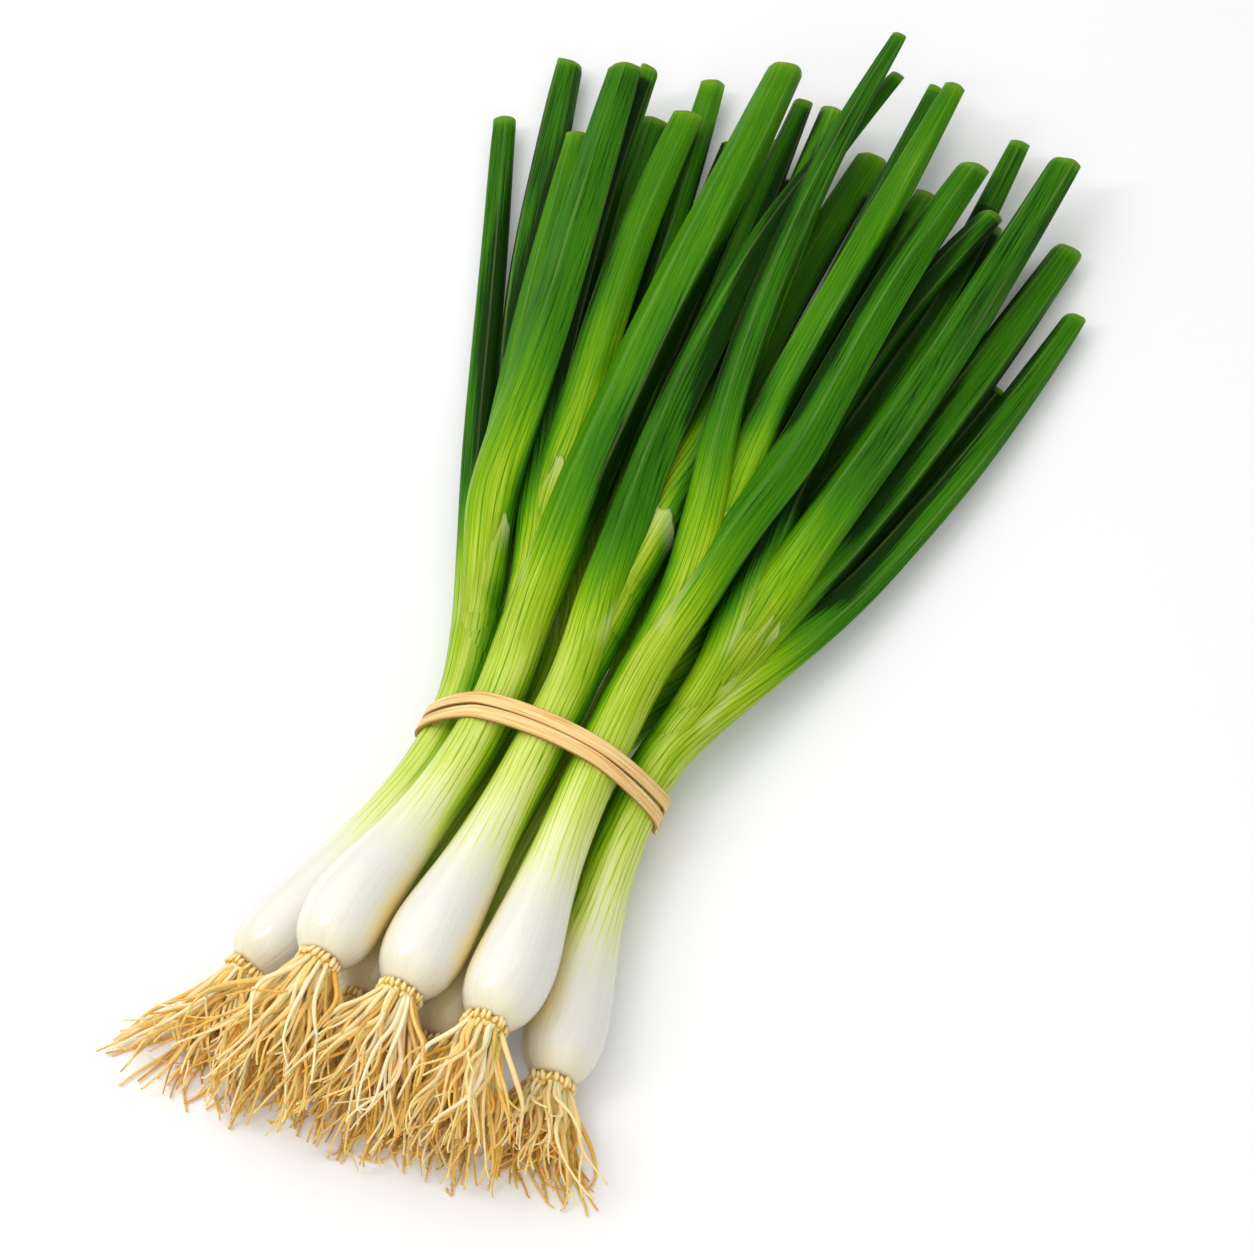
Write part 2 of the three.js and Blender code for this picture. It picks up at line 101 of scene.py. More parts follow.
# Onions whose plates stand higher than this are in the upper layer.
UPPER_Z = 20.0
# Height that nothing goes below, so that no skin cuts into the table.
TABLE_CLEARANCE = 0.02
# A gap wide enough to count as open.
FAR_OFF = 99.0
# A whole turn, roughly, for random phases.
ANY_PHASE = 6.3
# Turn from each root to the next, which spreads them evenly over the plate.
GOLDEN_ANGLE = 2.399963
# How far apart the patterns of two layers are set.
PATTERN_SPREAD = 37.0

# Radius of the bulb and neck against the distance from the root plate.
BULB_PROFILE = (
    (0, 0.5), (1.6, 0.64), (4.5, 0.81), (9, 0.94), (15, 1), (22, 0.975),
    (32, 0.87), (44, 0.745), (56, 0.665), (70, 0.625), (98, 0.61),
)

# Greenness of the stem against the distance from the root plate.
STEM_GREEN = (
    (0, 0), (32, 0), (44, 0.07), (56, 0.18), (70, 0.28), (92, 0.36), (115, 0.42), (140, 0.48), (180, 0.55),
)
# Millimetres by which some onions turn green sooner.
EARLY_GREEN = {3: 2.0, 4: 2.0, 5: 9.0, 6: 18.0, 7: 18.0}

# Distances from the root plate of the rings that round a bulb's base.
BASE_RINGS = (0.3, 0.9, 1.8, 3.0, 4.4, 6.0, 7.8, 9.8)

# Root plate's outline: how far it stands back from the bulb and its share of the radius.
PLATE_OUTLINE = ((-0.35, 0.0), (-0.6, 0.78), (-1.6, 0.92), (-2.6, 0.84), (-3.1, 0.6), (-3.2, 0.0))

# Cross-section of the tie: share of the width, share of the thickness and how dark it is painted there, as
# shade along its edges and in its grooves.
TIE_OUTLINE = (
    (-0.5, 0.15, 0.8), (-0.46, 0.02, 0.4), (-0.2, 0.0, 0.0), (0.2, 0.0, 0.0), (0.46, 0.02, 0.4),
    (0.5, 0.15, 0.8), (0.5, 0.75, 0.7), (0.45, 0.93, 0.2), (0.3, 0.99, 0.0), (0.14, 0.93, 0.16),
    (0.0, 1.0, 0.0), (-0.16, 0.94, 0.12), (-0.3, 1.0, 0.0), (-0.45, 0.93, 0.2), (-0.5, 0.75, 0.7),
)


class Layer(Enum):
    """Names of the values that a skin carries for its finish."""

    ALONG = "along"
    GREEN = "green"
    EDGE = "edge"
    RIM = "rim"
    TONE = "tone"
    # Painted shade and warm bounce light: 0 in the open, up to 1 deep in a crease between stems and leaves.
    PAINTED_SHADE = "near"
    KNOB = "knob"


@dataclass(frozen=True)
class LeafPlan:
    """One leaf: where it leaves the stem, its width at the cut, the cut, its place half way along."""

    split_y: float
    cut_width: float
    tip: tuple[float, float, float]
    middle: tuple[float, float, float]
    middle_width: float = 0.0

    @property
    def width(self) -> float:
        """Width half way along, where a leaf is broadest."""
        return self.middle_width or LEAF_MIDDLE_WIDTH + LEAF_MIDDLE_GAIN * self.cut_width


@dataclass(frozen=True)
class OnionPlan:
    """One onion: its root plate, its place in the tie, its root reach and its leaves, outermost first."""

    plate: tuple[float, float, float]
    tied: tuple[float, float]
    reach: float
    fan: float
    leaves: tuple[LeafPlan, ...]

    @property
    def heart(self) -> LeafPlan:
        """The innermost leaf, which the stem runs into."""
        return self.leaves[-1]


ONIONS = (
    OnionPlan((-51, -88, 10.8), (-26, 15), 46, -2, (
        LeafPlan(30, 7.4, (-116.5, 223, 6), (-77, 130, 8), 9),
        LeafPlan(36, 9.0, (-107, 253, 7), (-71, 130, 10)),
        LeafPlan(42, 6.0, (-90, 221, 15), (-66, 130, 17)),
        LeafPlan(54, 10.8, (-84, 246, 22), (-59, 130, 26)),
    )),
    OnionPlan((-27, -88, 34), (-16.5, 27), 46, -6, (
        LeafPlan(42, 11.4, (-37, 265, 24), (-30, 130, 31)),
        LeafPlan(66, 6.7, (-79, 253, 17), (-57, 130, 21)),
        LeafPlan(60, 8.1, (-61, 263, 7), (-36, 130, 12)),
        LeafPlan(78, 9.9, (-60, 241, 16), (-49, 130, 21)),
    )),
    OnionPlan((-3, -87, 33), (-1.5, 30), 43, -1, (
        LeafPlan(30, 5.2, (-5, 280, 20), (-18, 130, 32), 14.6),
        LeafPlan(48, 8.7, (-31, 249, 7), (-21, 130, 13)),
        LeafPlan(60, 6.3, (-29, 261, 16), (-15, 130, 20), 12),
        LeafPlan(72, 11.0, (-18, 262, 15), (-5, 130, 25)),
    )),
    OnionPlan((22, -86, 32), (13, 26), 39, 4, (
        LeafPlan(42, 9.9, (31, 256, 19), (21, 130, 27)),
        LeafPlan(66, 4.9, (-8, 289, 28), (-1, 130, 33), 12),
        LeafPlan(60, 5.8, (7, 284, 15), (11, 130, 22)),
        LeafPlan(78, 6.9, (14, 281, 22), (14, 130, 29), 13),
    )),
    OnionPlan((41, -85, 10.8), (23, 15), 33, 4, (
        LeafPlan(24, 7.2, (78.5, 224, 6), (62.5, 130, 9), 12.2),
        LeafPlan(36, 9.6, (67, 247, 6), (49, 130, 12), 14),
        LeafPlan(48, 7.4, (41, 243, 15), (22, 130, 24)),
        LeafPlan(60, 10.1, (56, 271, 17), (45, 130, 22)),
    )),
    OnionPlan((-17, -84, 11.5), (-11.5, 10.5), 44, -4, (
        LeafPlan(36, 7.4, (-88, 230, 5), (-62, 130, 7), 12.6),
        LeafPlan(54, 10.1, (-72, 242, 6), (-49, 130, 8), 14.6),
        LeafPlan(66, 9.4, (-45, 245, 6), (-33, 130, 7), 14.6),
        LeafPlan(72, 9.4, (-24, 238, 6), (-20, 130, 7), 14.6),
    )),
    OnionPlan((8, -88, 11.5), (5, 10.5), 38, 3, (
        LeafPlan(18, 6.7, (66, 190, 5), (55, 130, 7), 12.6),
        LeafPlan(24, 9.0, (8, 242, 5), (6, 130, 7), 14),
        LeafPlan(30, 7.2, (53, 241, 6), (41, 130, 8), 12.6),
        LeafPlan(36, 10.1, (-3, 256, 6), (-4, 130, 8), 14.6),
        LeafPlan(42, 8.7, (41, 246, 6), (31, 130, 8), 13.8),
        LeafPlan(48, 6.9, (38, 278, 10), (31, 130, 14), 12.2),
        LeafPlan(72, 9.6, (19, 250, 6), (17, 130, 8), 14.6),
    )),
)


# ---------------------------------------------------------------- small helpers
def smooth(value: np.ndarray | float) -> np.ndarray | float:
    """Eases from 0 to 1 as the value goes from 0 to 1.

    Args:
        value: the share, outside 0 to 1 too.

    Returns:
        The eased share.
    """
    share = np.clip(value, 0.0, 1.0)
    return share * share * (3.0 - 2.0 * share)


def mix(start: float, end: float, share: float) -> float:
    """Value a share of the way from start to end."""
    return start + (end - start) * share


def station_of(y: float) -> int:
    """Nearest station to a height along the bunch."""
    return math.floor((y - FIRST_STATION) / STATION_STEP + 0.5)


def through_three(points: tuple[tuple[float, float], ...], y: np.ndarray | float) -> np.ndarray | float:
    """Value at y of the parabola through three (y, value) points.

    Args:
        points: three (y, value) pairs.
        y: where the curve is wanted.

    Returns:
        The curve's value.
    """
    (ya, va), (yb, vb), (yc, vc) = points
    a = (y - yb) * (y - yc) / ((ya - yb) * (ya - yc))
    b = (y - ya) * (y - yc) / ((yb - ya) * (yb - yc))
    c = (y - ya) * (y - yb) / ((yc - ya) * (yc - yb))
    return va * a + vb * b + vc * c


def flatness(y: np.ndarray | float) -> np.ndarray | float:
    """Height of a cross-section against its width: round stems, slightly flattened leaves."""
    return 1.0 + (LEAF_FLATNESS - 1.0) * np.clip((y - FLATTENS_FROM) / FLATTENS_OVER, 0.0, 1.0)


def bulb_radius(along: np.ndarray | float) -> np.ndarray | float:
    """Radius of the bulb and neck at a distance from the root plate, smoothed between its marks."""
    spots = np.array([spot for spot, _ in BULB_PROFILE], float)
    shares = np.array([share for _, share in BULB_PROFILE], float)
    reach = np.linspace(-0.5, 0.5, 5)[:, None] * np.clip(np.atleast_1d(along) * 0.5, 0.6, 8.0)
    spread = np.interp(np.atleast_1d(along) + reach, spots, shares).mean(axis=0)
    return BULB_RADIUS * (spread if np.ndim(along) else float(spread[0]))


def stem_radius(onion: OnionPlan, y: np.ndarray | float) -> np.ndarray | float:
    """Radius of an onion's stem, from bulb to heart leaf.

    Args:
        onion: the onion's plan.
        y: height along the bunch.

    Returns:
        The radius in millimetres.
    """
    bulb = bulb_radius(y - onion.plate[1])
    above = smooth((y - TIE_Y - ABOVE_TIE) / (onion.heart.split_y - TIE_Y - ABOVE_TIE))
    return bulb + (onion.heart.width / 2 + HEART_MARGIN - bulb) * above


def blade_radius(leaf: LeafPlan, y: np.ndarray | float) -> np.ndarray | float:
    """Half width of a leaf's blade, narrowing from its middle to its cut."""
    cut = np.clip((y - MIDDLE_Y) / (leaf.tip[1] - MIDDLE_Y), 0.0, 1.0) ** 2
    return (leaf.width + (leaf.cut_width - leaf.width) * cut) / 2


def leaf_radius(root: float, leaf: LeafPlan, y: np.ndarray | float) -> np.ndarray | float:
    """Half width of a leaf past its split, going from the sheath to the blade.

    Args:
        root: the sheath's radius at the split.
        leaf: the leaf's plan.
        y: height along the bunch.

    Returns:
        The radius in millimetres.
    """
    return root + (blade_radius(leaf, y) - root) * smooth((y - leaf.split_y) / SPREAD_LENGTH)


# ---------------------------------------------------------------- how the strands lie
@dataclass
class Strand:
    """Run of one stem or leaf through the stations along Y."""

    owner: int
    parent: int | None
    first: int
    last: int
    free: int
    radius: np.ndarray
    goal: np.ndarray


@dataclass
class Bundle:
    """Stems and leaves pressed together until none cuts through another."""

    onions: tuple[OnionPlan, ...]
    strands: list[Strand] = field(default_factory=list)
    x: np.ndarray = field(default_factory=lambda: np.zeros((0, STATION_COUNT)))
    z: np.ndarray = field(default_factory=lambda: np.zeros((0, STATION_COUNT)))
    stations_to_part: int = 7
    sibling_gap: float = 0.2
    pull: float = 0.08
    stiffness: float = 0.5
    settled_stiffness: float = 0.12
    tie_hold: float = 0.5
    push: float = 0.4
    floor_dip: float = 0.25
    floor_lift: float = 0.4
    bulbs_end_y: float = -40.0

    def __post_init__(self) -> None:
        """Lays the strands out and relaxes them."""
        self.heights = FIRST_STATION + STATION_STEP * np.arange(STATION_COUNT, dtype=float)
        for owner, onion in enumerate(self.onions):
            self._add_onion(owner, onion)
        self.x = np.array([strand.goal[0] for strand in self.strands])
        self.z = np.array([strand.goal[1] for strand in self.strands])
        self._relax()

    def _stem_goal(self, onion: OnionPlan, y: float) -> tuple[float, float]:
        """Where a stem would like to be at a height.

        Args:
            onion: the onion's plan.
            y: height along the bunch.

        Returns:
            Its place across and up.
        """
        x, plate_y, z = onion.plate
        if y <= TIE_Y:
            share = (y - plate_y) / (TIE_Y - plate_y)
            return mix(x, onion.tied[0], share), mix(z, onion.tied[1], share)
        middle, tip = onion.heart.middle, onion.heart.tip
        across = through_three(((TIE_Y, onion.tied[0]), (middle[1], middle[0]), (tip[1], tip[0])), y)
        up = through_three(((TIE_Y, onion.tied[1]), (middle[1], middle[2]), (tip[1], tip[2])), y)
        return across, up

    def _add_onion(self, owner: int, onion: OnionPlan) -> None:
        """Adds an onion's stem and leaf strands.

        Args:
            owner: the onion's number.
            onion: the onion's plan.
        """
        stem = len(self.strands)
        goal = np.array([self._stem_goal(onion, y) for y in self.heights]).T
        radius = np.array([float(self._solid_stem_radius(onion, y)) for y in self.heights])
        self.strands.append(
            Strand(owner, None, station_of(onion.plate[1]), station_of(onion.heart.split_y), -1, radius, goal)
        )
        for leaf in onion.leaves:
            x, z = self._stem_goal(onion, leaf.split_y)
            middle, tip = leaf.middle, leaf.tip
            split = leaf.split_y
            across = through_three(((split, x), (middle[1], middle[0]), (tip[1], tip[0])), self.heights)
            up = through_three(((split, z), (middle[1], middle[2]), (tip[1], tip[2])), self.heights)
            root = self._solid_stem_radius(onion, leaf.split_y) + SHEATH_STEP
            radius = leaf_radius(root, leaf, self.heights)
            first, last = station_of(leaf.split_y), station_of(leaf.tip[1])
            free = first + self.stations_to_part
            self.strands.append(Strand(owner, stem, first, last, free, radius, np.array([across, up])))

    def _solid_stem_radius(self, onion: OnionPlan, y: float) -> float:
        """Stem radius with straight runs between the bulb's marks, as the solids have it."""
        spots, shares = zip(*BULB_PROFILE)
        bulb = BULB_RADIUS * float(np.interp(y - onion.plate[1], spots, shares))
        above = smooth((y - TIE_Y - ABOVE_TIE) / (onion.heart.split_y - TIE_Y - ABOVE_TIE))
        return mix(bulb, onion.heart.width / 2 + HEART_MARGIN, above)

    def _join_to_stems(self) -> None:
        """Starts each leaf where its stem is, heading the way the stem heads."""
        for index, strand in enumerate(self.strands):
            if strand.parent is None:
                continue
            end = min(strand.first + 1, self.strands[strand.parent].last) + 1
            for row in (self.x, self.z):
                row[index, strand.first:end] = row[strand.parent, strand.first:end]

    def _relax(self) -> None:
        """Pulls each strand to its goal, straightens it and pushes it off its neighbours."""
        count = len(self.strands)
        stations = np.arange(STATION_COUNT)
        valid = np.array([(stations >= s.first) & (stations <= s.last) for s in self.strands])
        inner = np.array([(stations > s.first) & (stations < s.last) for s in self.strands])
        goals = np.array([s.goal for s in self.strands])
        radii = np.array([s.radius for s in self.strands])
        owners = np.array([s.owner for s in self.strands])
        free = np.array([s.free for s in self.strands])
        first, second = np.triu_indices(count, 1)
        same = owners[first] == owners[second]
        parted = (stations >= np.maximum(free[first], free[second])[:, None])
        parted &= ((free[first] > 0) & (free[second] > 0))[:, None]
        apart = valid[first] & valid[second] & (~same[:, None] | parted)
        kept = apart.any(axis=1)
        first, second, same, apart = first[kept], second[kept], same[kept], apart[kept]
        wanted = radii[first] + radii[second] + np.where(same, self.sibling_gap, STRAND_GAP)[:, None]
        sides = np.zeros((count, len(first)))
        sides[first, np.arange(len(first))] = -1.0
        sides[second, np.arange(len(first))] = 1.0
        flat = flatness(self.heights)
        floor = radii * flat * math.cos(math.pi / STEM_SIDES) - self.floor_dip
        floor = floor + np.where(stations < station_of(self.bulbs_end_y), 0.0, self.floor_lift)
        tie = station_of(TIE_Y)
        stems = [index for index, s in enumerate(self.strands) if s.parent is None]
        for turn in range(RELAX_ROUNDS + SETTLE_ROUNDS):
            pulling = turn < RELAX_ROUNDS
            pull = self.pull * (1.0 - turn / RELAX_ROUNDS) if pulling else 0.0
            stiff = self.stiffness if pulling else self.settled_stiffness
            for row, goal in ((self.x, goals[:, 0]), (self.z, goals[:, 1])):
                row += np.where(valid, pull * (goal - row), 0.0)
                bend = np.zeros_like(row)
                bend[:, 1:-1] = (row[:, :-2] + row[:, 2:]) / 2 - row[:, 1:-1]
                row += np.where(inner, stiff * bend, 0.0)
                if pulling:
                    held = row[stems, tie - 1:tie + 2]
                    row[stems, tie - 1:tie + 2] = held + self.tie_hold * (goal[stems, tie][:, None] - held)
            self._join_to_stems()
            dx = self.x[second] - self.x[first]
            dz = (self.z[second] - self.z[first]) / flat
            far = np.sqrt(dx * dx + dz * dz) + 1e-6
            push = np.where(apart & (far < wanted), self.push * (wanted - far) / far, 0.0)
            self.x += np.where(valid, sides @ (dx * push), 0.0)
            self.z += np.where(valid, sides @ (dz * push) * flat, 0.0)
            self.z = np.where(valid, np.maximum(self.z, floor), self.z)
        self._join_to_stems()

    def centre(self, index: int, y: np.ndarray) -> np.ndarray:
        """Smooth run of one strand.

        Args:
            index: the strand's number.
            y: heights along the bunch.

        Returns:
            Its place across and up at each height, one row for each height.
        """
        strand = self.strands[index]
        place = np.clip((y - FIRST_STATION) / STATION_STEP, strand.first, strand.last)
        low = np.clip(np.floor(place).astype(int), strand.first, strand.last - 1)
        share = (place - low)[:, None]
        run = np.stack([self.x[index], self.z[index]], axis=1)
        before = run[np.maximum(low - 1, strand.first)]
        start, end = run[low], run[low + 1]
        after = run[np.minimum(low + 2, strand.last)]
        start_slope, end_slope = (end - before) / 2, (after - start) / 2
        s2, s3 = share**2, share**3
        return (
            start * (2 * s3 - 3 * s2 + 1) + start_slope * (s3 - 2 * s2 + share)
            + end * (3 * s2 - 2 * s3) + end_slope * (s3 - s2)
        )

    def belt(self, angle: np.ndarray, lift: np.ndarray) -> np.ndarray:
        """Points of a belt pulled tight round the tied stems.

        Args:
            angle: outward directions in radians.
            lift: distance outside the stems for each direction.

        Returns:
            Place across and up for each direction.
        """
        stems = [index for index, strand in enumerate(self.strands) if strand.parent is None]
        tie = np.array([TIE_Y])
        centres = np.array([self.centre(index, tie)[0] for index in stems])
        owners = [self.onions[self.strands[index].owner] for index in stems]
        radii = np.array([self._solid_stem_radius(onion, TIE_Y) for onion in owners])
        out = np.stack([np.cos(angle), np.sin(angle)], axis=1)
        best = np.argmax(centres @ out.T + radii[:, None], axis=0)
        return centres[best] + out * (radii[best] + lift)[:, None]


# ---------------------------------------------------------------- skins
@dataclass
class Skin:
    """Closed skins rolled out of grids and gathered into one mesh."""

    name: str
    layers: tuple[Layer, ...]
    weld_distance: float = 2e-7

    def __post_init__(self) -> None:
        """Opens an empty mesh with its value layers."""
        self.bm = bmesh.new()
        self.uv = self.bm.loops.layers.uv.new("around")
        self.values = {layer: self.bm.verts.layers.float.new(layer.value) for layer in self.layers}

    def roll(self, rings: np.ndarray, values: dict[Layer, np.ndarray | float], looped: bool = False) -> None:
        """Rolls a grid into a tube over rings and gives its vertices their values.

        Args:
            rings: points in millimetres, shaped (rings, sides, 3).
            values: a number, or an array that spreads over (rings, sides), for each layer.
            looped: True if the last ring meets the first.
        """
        rows, sides = rings.shape[:2]
        spans = rows if looped else rows - 1
        made = bmesh.ops.create_grid(
            self.bm, x_segments=sides, y_segments=spans, size=1.0, calc_uvs=True
        )
        spread = {layer: np.broadcast_to(value, (rows, sides)) for layer, value in values.items()}
        for vert in made["verts"]:
            column = round((vert.co.x + 1.0) / 2.0 * sides) % sides
            row = round((vert.co.y + 1.0) / 2.0 * spans) % rows
            vert.co = rings[row, column] * MM
            vert.co.z = max(vert.co.z, TABLE_CLEARANCE * MM)
            for layer, value in spread.items():
                vert[self.values[layer]] = value[row, column]

    def make(self, material: bpy.types.Material, shift: Vector) -> bpy.types.Object:
        """Closes the seams and makes the scene object.

        Args:
            material: the piece's finish.
            shift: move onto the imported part's frame, in metres.

        Returns:
            The new object.
        """
        bmesh.ops.remove_doubles(self.bm, verts=self.bm.verts, dist=self.weld_distance)
        bmesh.ops.dissolve_degenerate(self.bm, edges=self.bm.edges, dist=self.weld_distance)
        bmesh.ops.translate(self.bm, verts=self.bm.verts, vec=shift)
        bmesh.ops.recalc_face_normals(self.bm, faces=self.bm.faces)
        for face in self.bm.faces:
            face.smooth = True
        mesh = bpy.data.meshes.new(self.name)
        self.bm.to_mesh(mesh)
        self.bm.free()
        mesh.materials.append(material)
        piece = bpy.data.objects.new(self.name, mesh)
        bpy.context.scene.collection.objects.link(piece)
        return piece


def tube_rings(
    centres: np.ndarray, radii: np.ndarray, flat: np.ndarray | float, sides: int,
    shape: np.ndarray | float = 1.0,
) -> np.ndarray:
    """Rings square to a run of centres, with the first point of each facing down.

    Args:
        centres: points along the run, shaped (rings, 3).
        radii: radius of each ring.
        flat: height of each ring against its width.
        sides: points in each ring.
        shape: factor on the radius that spreads over (rings, sides).

    Returns:
        Points shaped (rings, sides, 3).
    """
    heading = np.gradient(centres, axis=0)
    heading /= np.linalg.norm(heading, axis=1)[:, None] + 1e-9
    right = np.cross(heading, np.array([0.0, 0.0, 1.0]))
    right /= np.linalg.norm(right, axis=1)[:, None] + 1e-9
    up = np.cross(right, heading)
    angle = 2 * math.pi * np.arange(sides) / sides - math.pi / 2
    tall = np.broadcast_to(flat, len(centres))[:, None]
    across = np.asarray(radii)[:, None] * np.cos(angle) * shape
    rise = np.asarray(radii)[:, None] * np.sin(angle) * tall * shape
    return centres[:, None] + across[:, :, None] * right[:, None] + rise[:, :, None] * up[:, None]


# ---------------------------------------------------------------- finishes
def linear(code: str) -> tuple[float, float, float, float]:
    """Linear colour of an sRGB hex code.

    Args:
        code: six hex digits.

    Returns:
        Red, green, blue and alpha.
    """
    parts = [int(code[i:i + 2], 16) / 255 for i in (0, 2, 4)]
    return (*[p / 12.92 if p <= 0.04045 else ((p + 0.055) / 1.055) ** 2.4 for p in parts], 1.0)


def add_node(
    tree: Tree, kind: str, settings: dict[str | int, object] | None = None,
    links: dict[str | int, Socket] | None = None,
) -> bpy.types.Node:
    """Adds a node with its settings and links.

    Args:
        tree: the material's node tree.
        kind: the node's type name.
        settings: properties by name, or input values by the socket's name or number.
        links: output sockets by the input's name or number.

    Returns:
        The node.
    """
    node = tree.nodes.new(kind)
    for name, value in (settings or {}).items():
        if isinstance(name, str) and hasattr(node, name) and name not in node.inputs:
            setattr(node, name, value)
        else:
            node.inputs[name].default_value = value
    for name, socket in (links or {}).items():
        tree.links.new(socket, node.inputs[name])
    return node


def maths(tree: Tree, operation: str, *inputs: Socket | float) -> Socket:
    """Result of a maths node.

    Args:
        tree: the material's node tree.
        operation: what the node works out.
        inputs: sockets or numbers, in the node's own order.

    Returns:
        The result's socket.
    """
    sockets = {slot: value for slot, value in enumerate(inputs) if isinstance(value, Socket)}
    numbers = {slot: value for slot, value in enumerate(inputs) if slot not in sockets}
    return add_node(tree, "ShaderNodeMath", {"operation": operation, **numbers}, sockets).outputs[0]


def ranged(
    tree: Tree, value: Socket, given: tuple[float, float], wanted: tuple[float, float] = (0.0, 1.0),
    kind: str = "LINEAR",
) -> Socket:
    """Value moved from one range to another and kept inside it.

    Args:
        tree: the material's node tree.
        value: what is moved.
        given: the range that it comes in.
        wanted: the range that it goes to.
        kind: how it eases between the ends.

    Returns:
        The moved value's socket.
    """
    ends = {"From Min": given[0], "From Max": given[1], "To Min": wanted[0], "To Max": wanted[1]}
    settings = {"interpolation_type": kind, **ends}
    return add_node(tree, "ShaderNodeMapRange", settings, {"Value": value}).outputs[0]


def noise(
    tree: Tree, vector: Socket, detail: float = 2.0, roughness: float = 0.5, scale: float = 1.0
) -> Socket:
    """Soft noise, from 0 to 1, over a vector.

    Args:
        tree: the material's node tree.
        vector: where the noise is read.
        detail: how many finer layers it has.
        roughness: how strong the finer layers are.
        scale: noise units for each unit of the vector.

    Returns:
        The noise's socket.
    """
    settings = {"Scale": scale, "Detail": detail, "Roughness": roughness}
    return add_node(tree, "ShaderNodeTexNoise", settings, {"Vector": vector}).outputs["Fac"]


def tinted(tree: Tree, factor: Socket, base: Socket, code: str) -> Socket:
    """Base colour mixed with a hex colour by a factor."""
    return add_node(
        tree, "ShaderNodeMix", {"data_type": "RGBA", 7: linear(code)}, {0: factor, 6: base}
    ).outputs[2]


def relief(tree: Tree, height: Socket, strength: float, distance_mm: float) -> Socket:
    """Normal of a fine relief, from its height and depth in millimetres."""
    settings = {"Strength": strength, "Distance": distance_mm * MM}
    return add_node(tree, "ShaderNodeBump", settings, {"Height": height}).outputs[0]


def add_ramp(tree: Tree, factor: Socket, stops: list[tuple[float, str]]) -> Socket:
    """Colour from a ramp through hex colours.

    Args:
        tree: the material's node tree.
        factor: what the ramp reads.
        stops: (place, hex colour) pairs.

    Returns:
        The colour's socket.
    """
    ramp = add_node(tree, "ShaderNodeValToRGB", links={"Fac": factor})
    points = ramp.color_ramp.elements
    while len(points) < len(stops):
        points.new(0.5)
    for point, (place, code) in zip(points, stops):
        point.position = place
        point.color = linear(code)
    return ramp.outputs["Color"]


def new_material(name: str) -> tuple[bpy.types.Material, Tree]:
    """Starts a material with an empty tree.

    Args:
        name: the material's name.

    Returns:
        The material and its tree.
    """
    material = bpy.data.materials.new(name)
    material.use_nodes = True
    material.node_tree.nodes.clear()
    return material, material.node_tree


def add_surface(tree: Tree, settings: dict[str, object], links: dict[str, Socket] | None = None) -> None:
    """Ends a tree with its shader and output.

    Args:
        tree: the material's node tree.
        settings: the shader's constant values by name.
        links: output sockets by the shader's input name.
    """
    shader = add_node(tree, "ShaderNodeBsdfPrincipled", settings, links)
    add_node(tree, "ShaderNodeOutputMaterial", links={"Surface": shader.outputs[0]})


def layer_value(tree: Tree, layer: Layer) -> Socket:
    """Value that the skin carries in a layer."""
    return add_node(tree, "ShaderNodeAttribute", {"attribute_name": layer.value}).outputs["Fac"]


def around_skin(tree: Tree) -> Socket:
    """Share of the way round the skin, from 0 to 1."""
    place = add_node(tree, "ShaderNodeUVMap", {"uv_map": "around"})
    return add_node(tree, "ShaderNodeSeparateXYZ", links={0: place.outputs["UV"]}).outputs["X"]


def stretched(tree: Tree, around: float, along: float) -> Socket:
    """Vector that follows the skin: repeats around it, and millimetres along it times a factor.

    Args:
        tree: the material's node tree.
        around: pattern units round the whole skin.
        along: pattern units for each millimetre along it.

    Returns:
        The vector's socket, set apart for each layer by its tone.
    """
    parts = {
        "X": maths(tree, "MULTIPLY", around_skin(tree), around),
        "Y": maths(tree, "MULTIPLY", layer_value(tree, Layer.ALONG), along),
        "Z": maths(tree, "MULTIPLY", layer_value(tree, Layer.TONE), PATTERN_SPREAD),
    }
    return add_node(tree, "ShaderNodeCombineXYZ", links=parts).outputs[0]


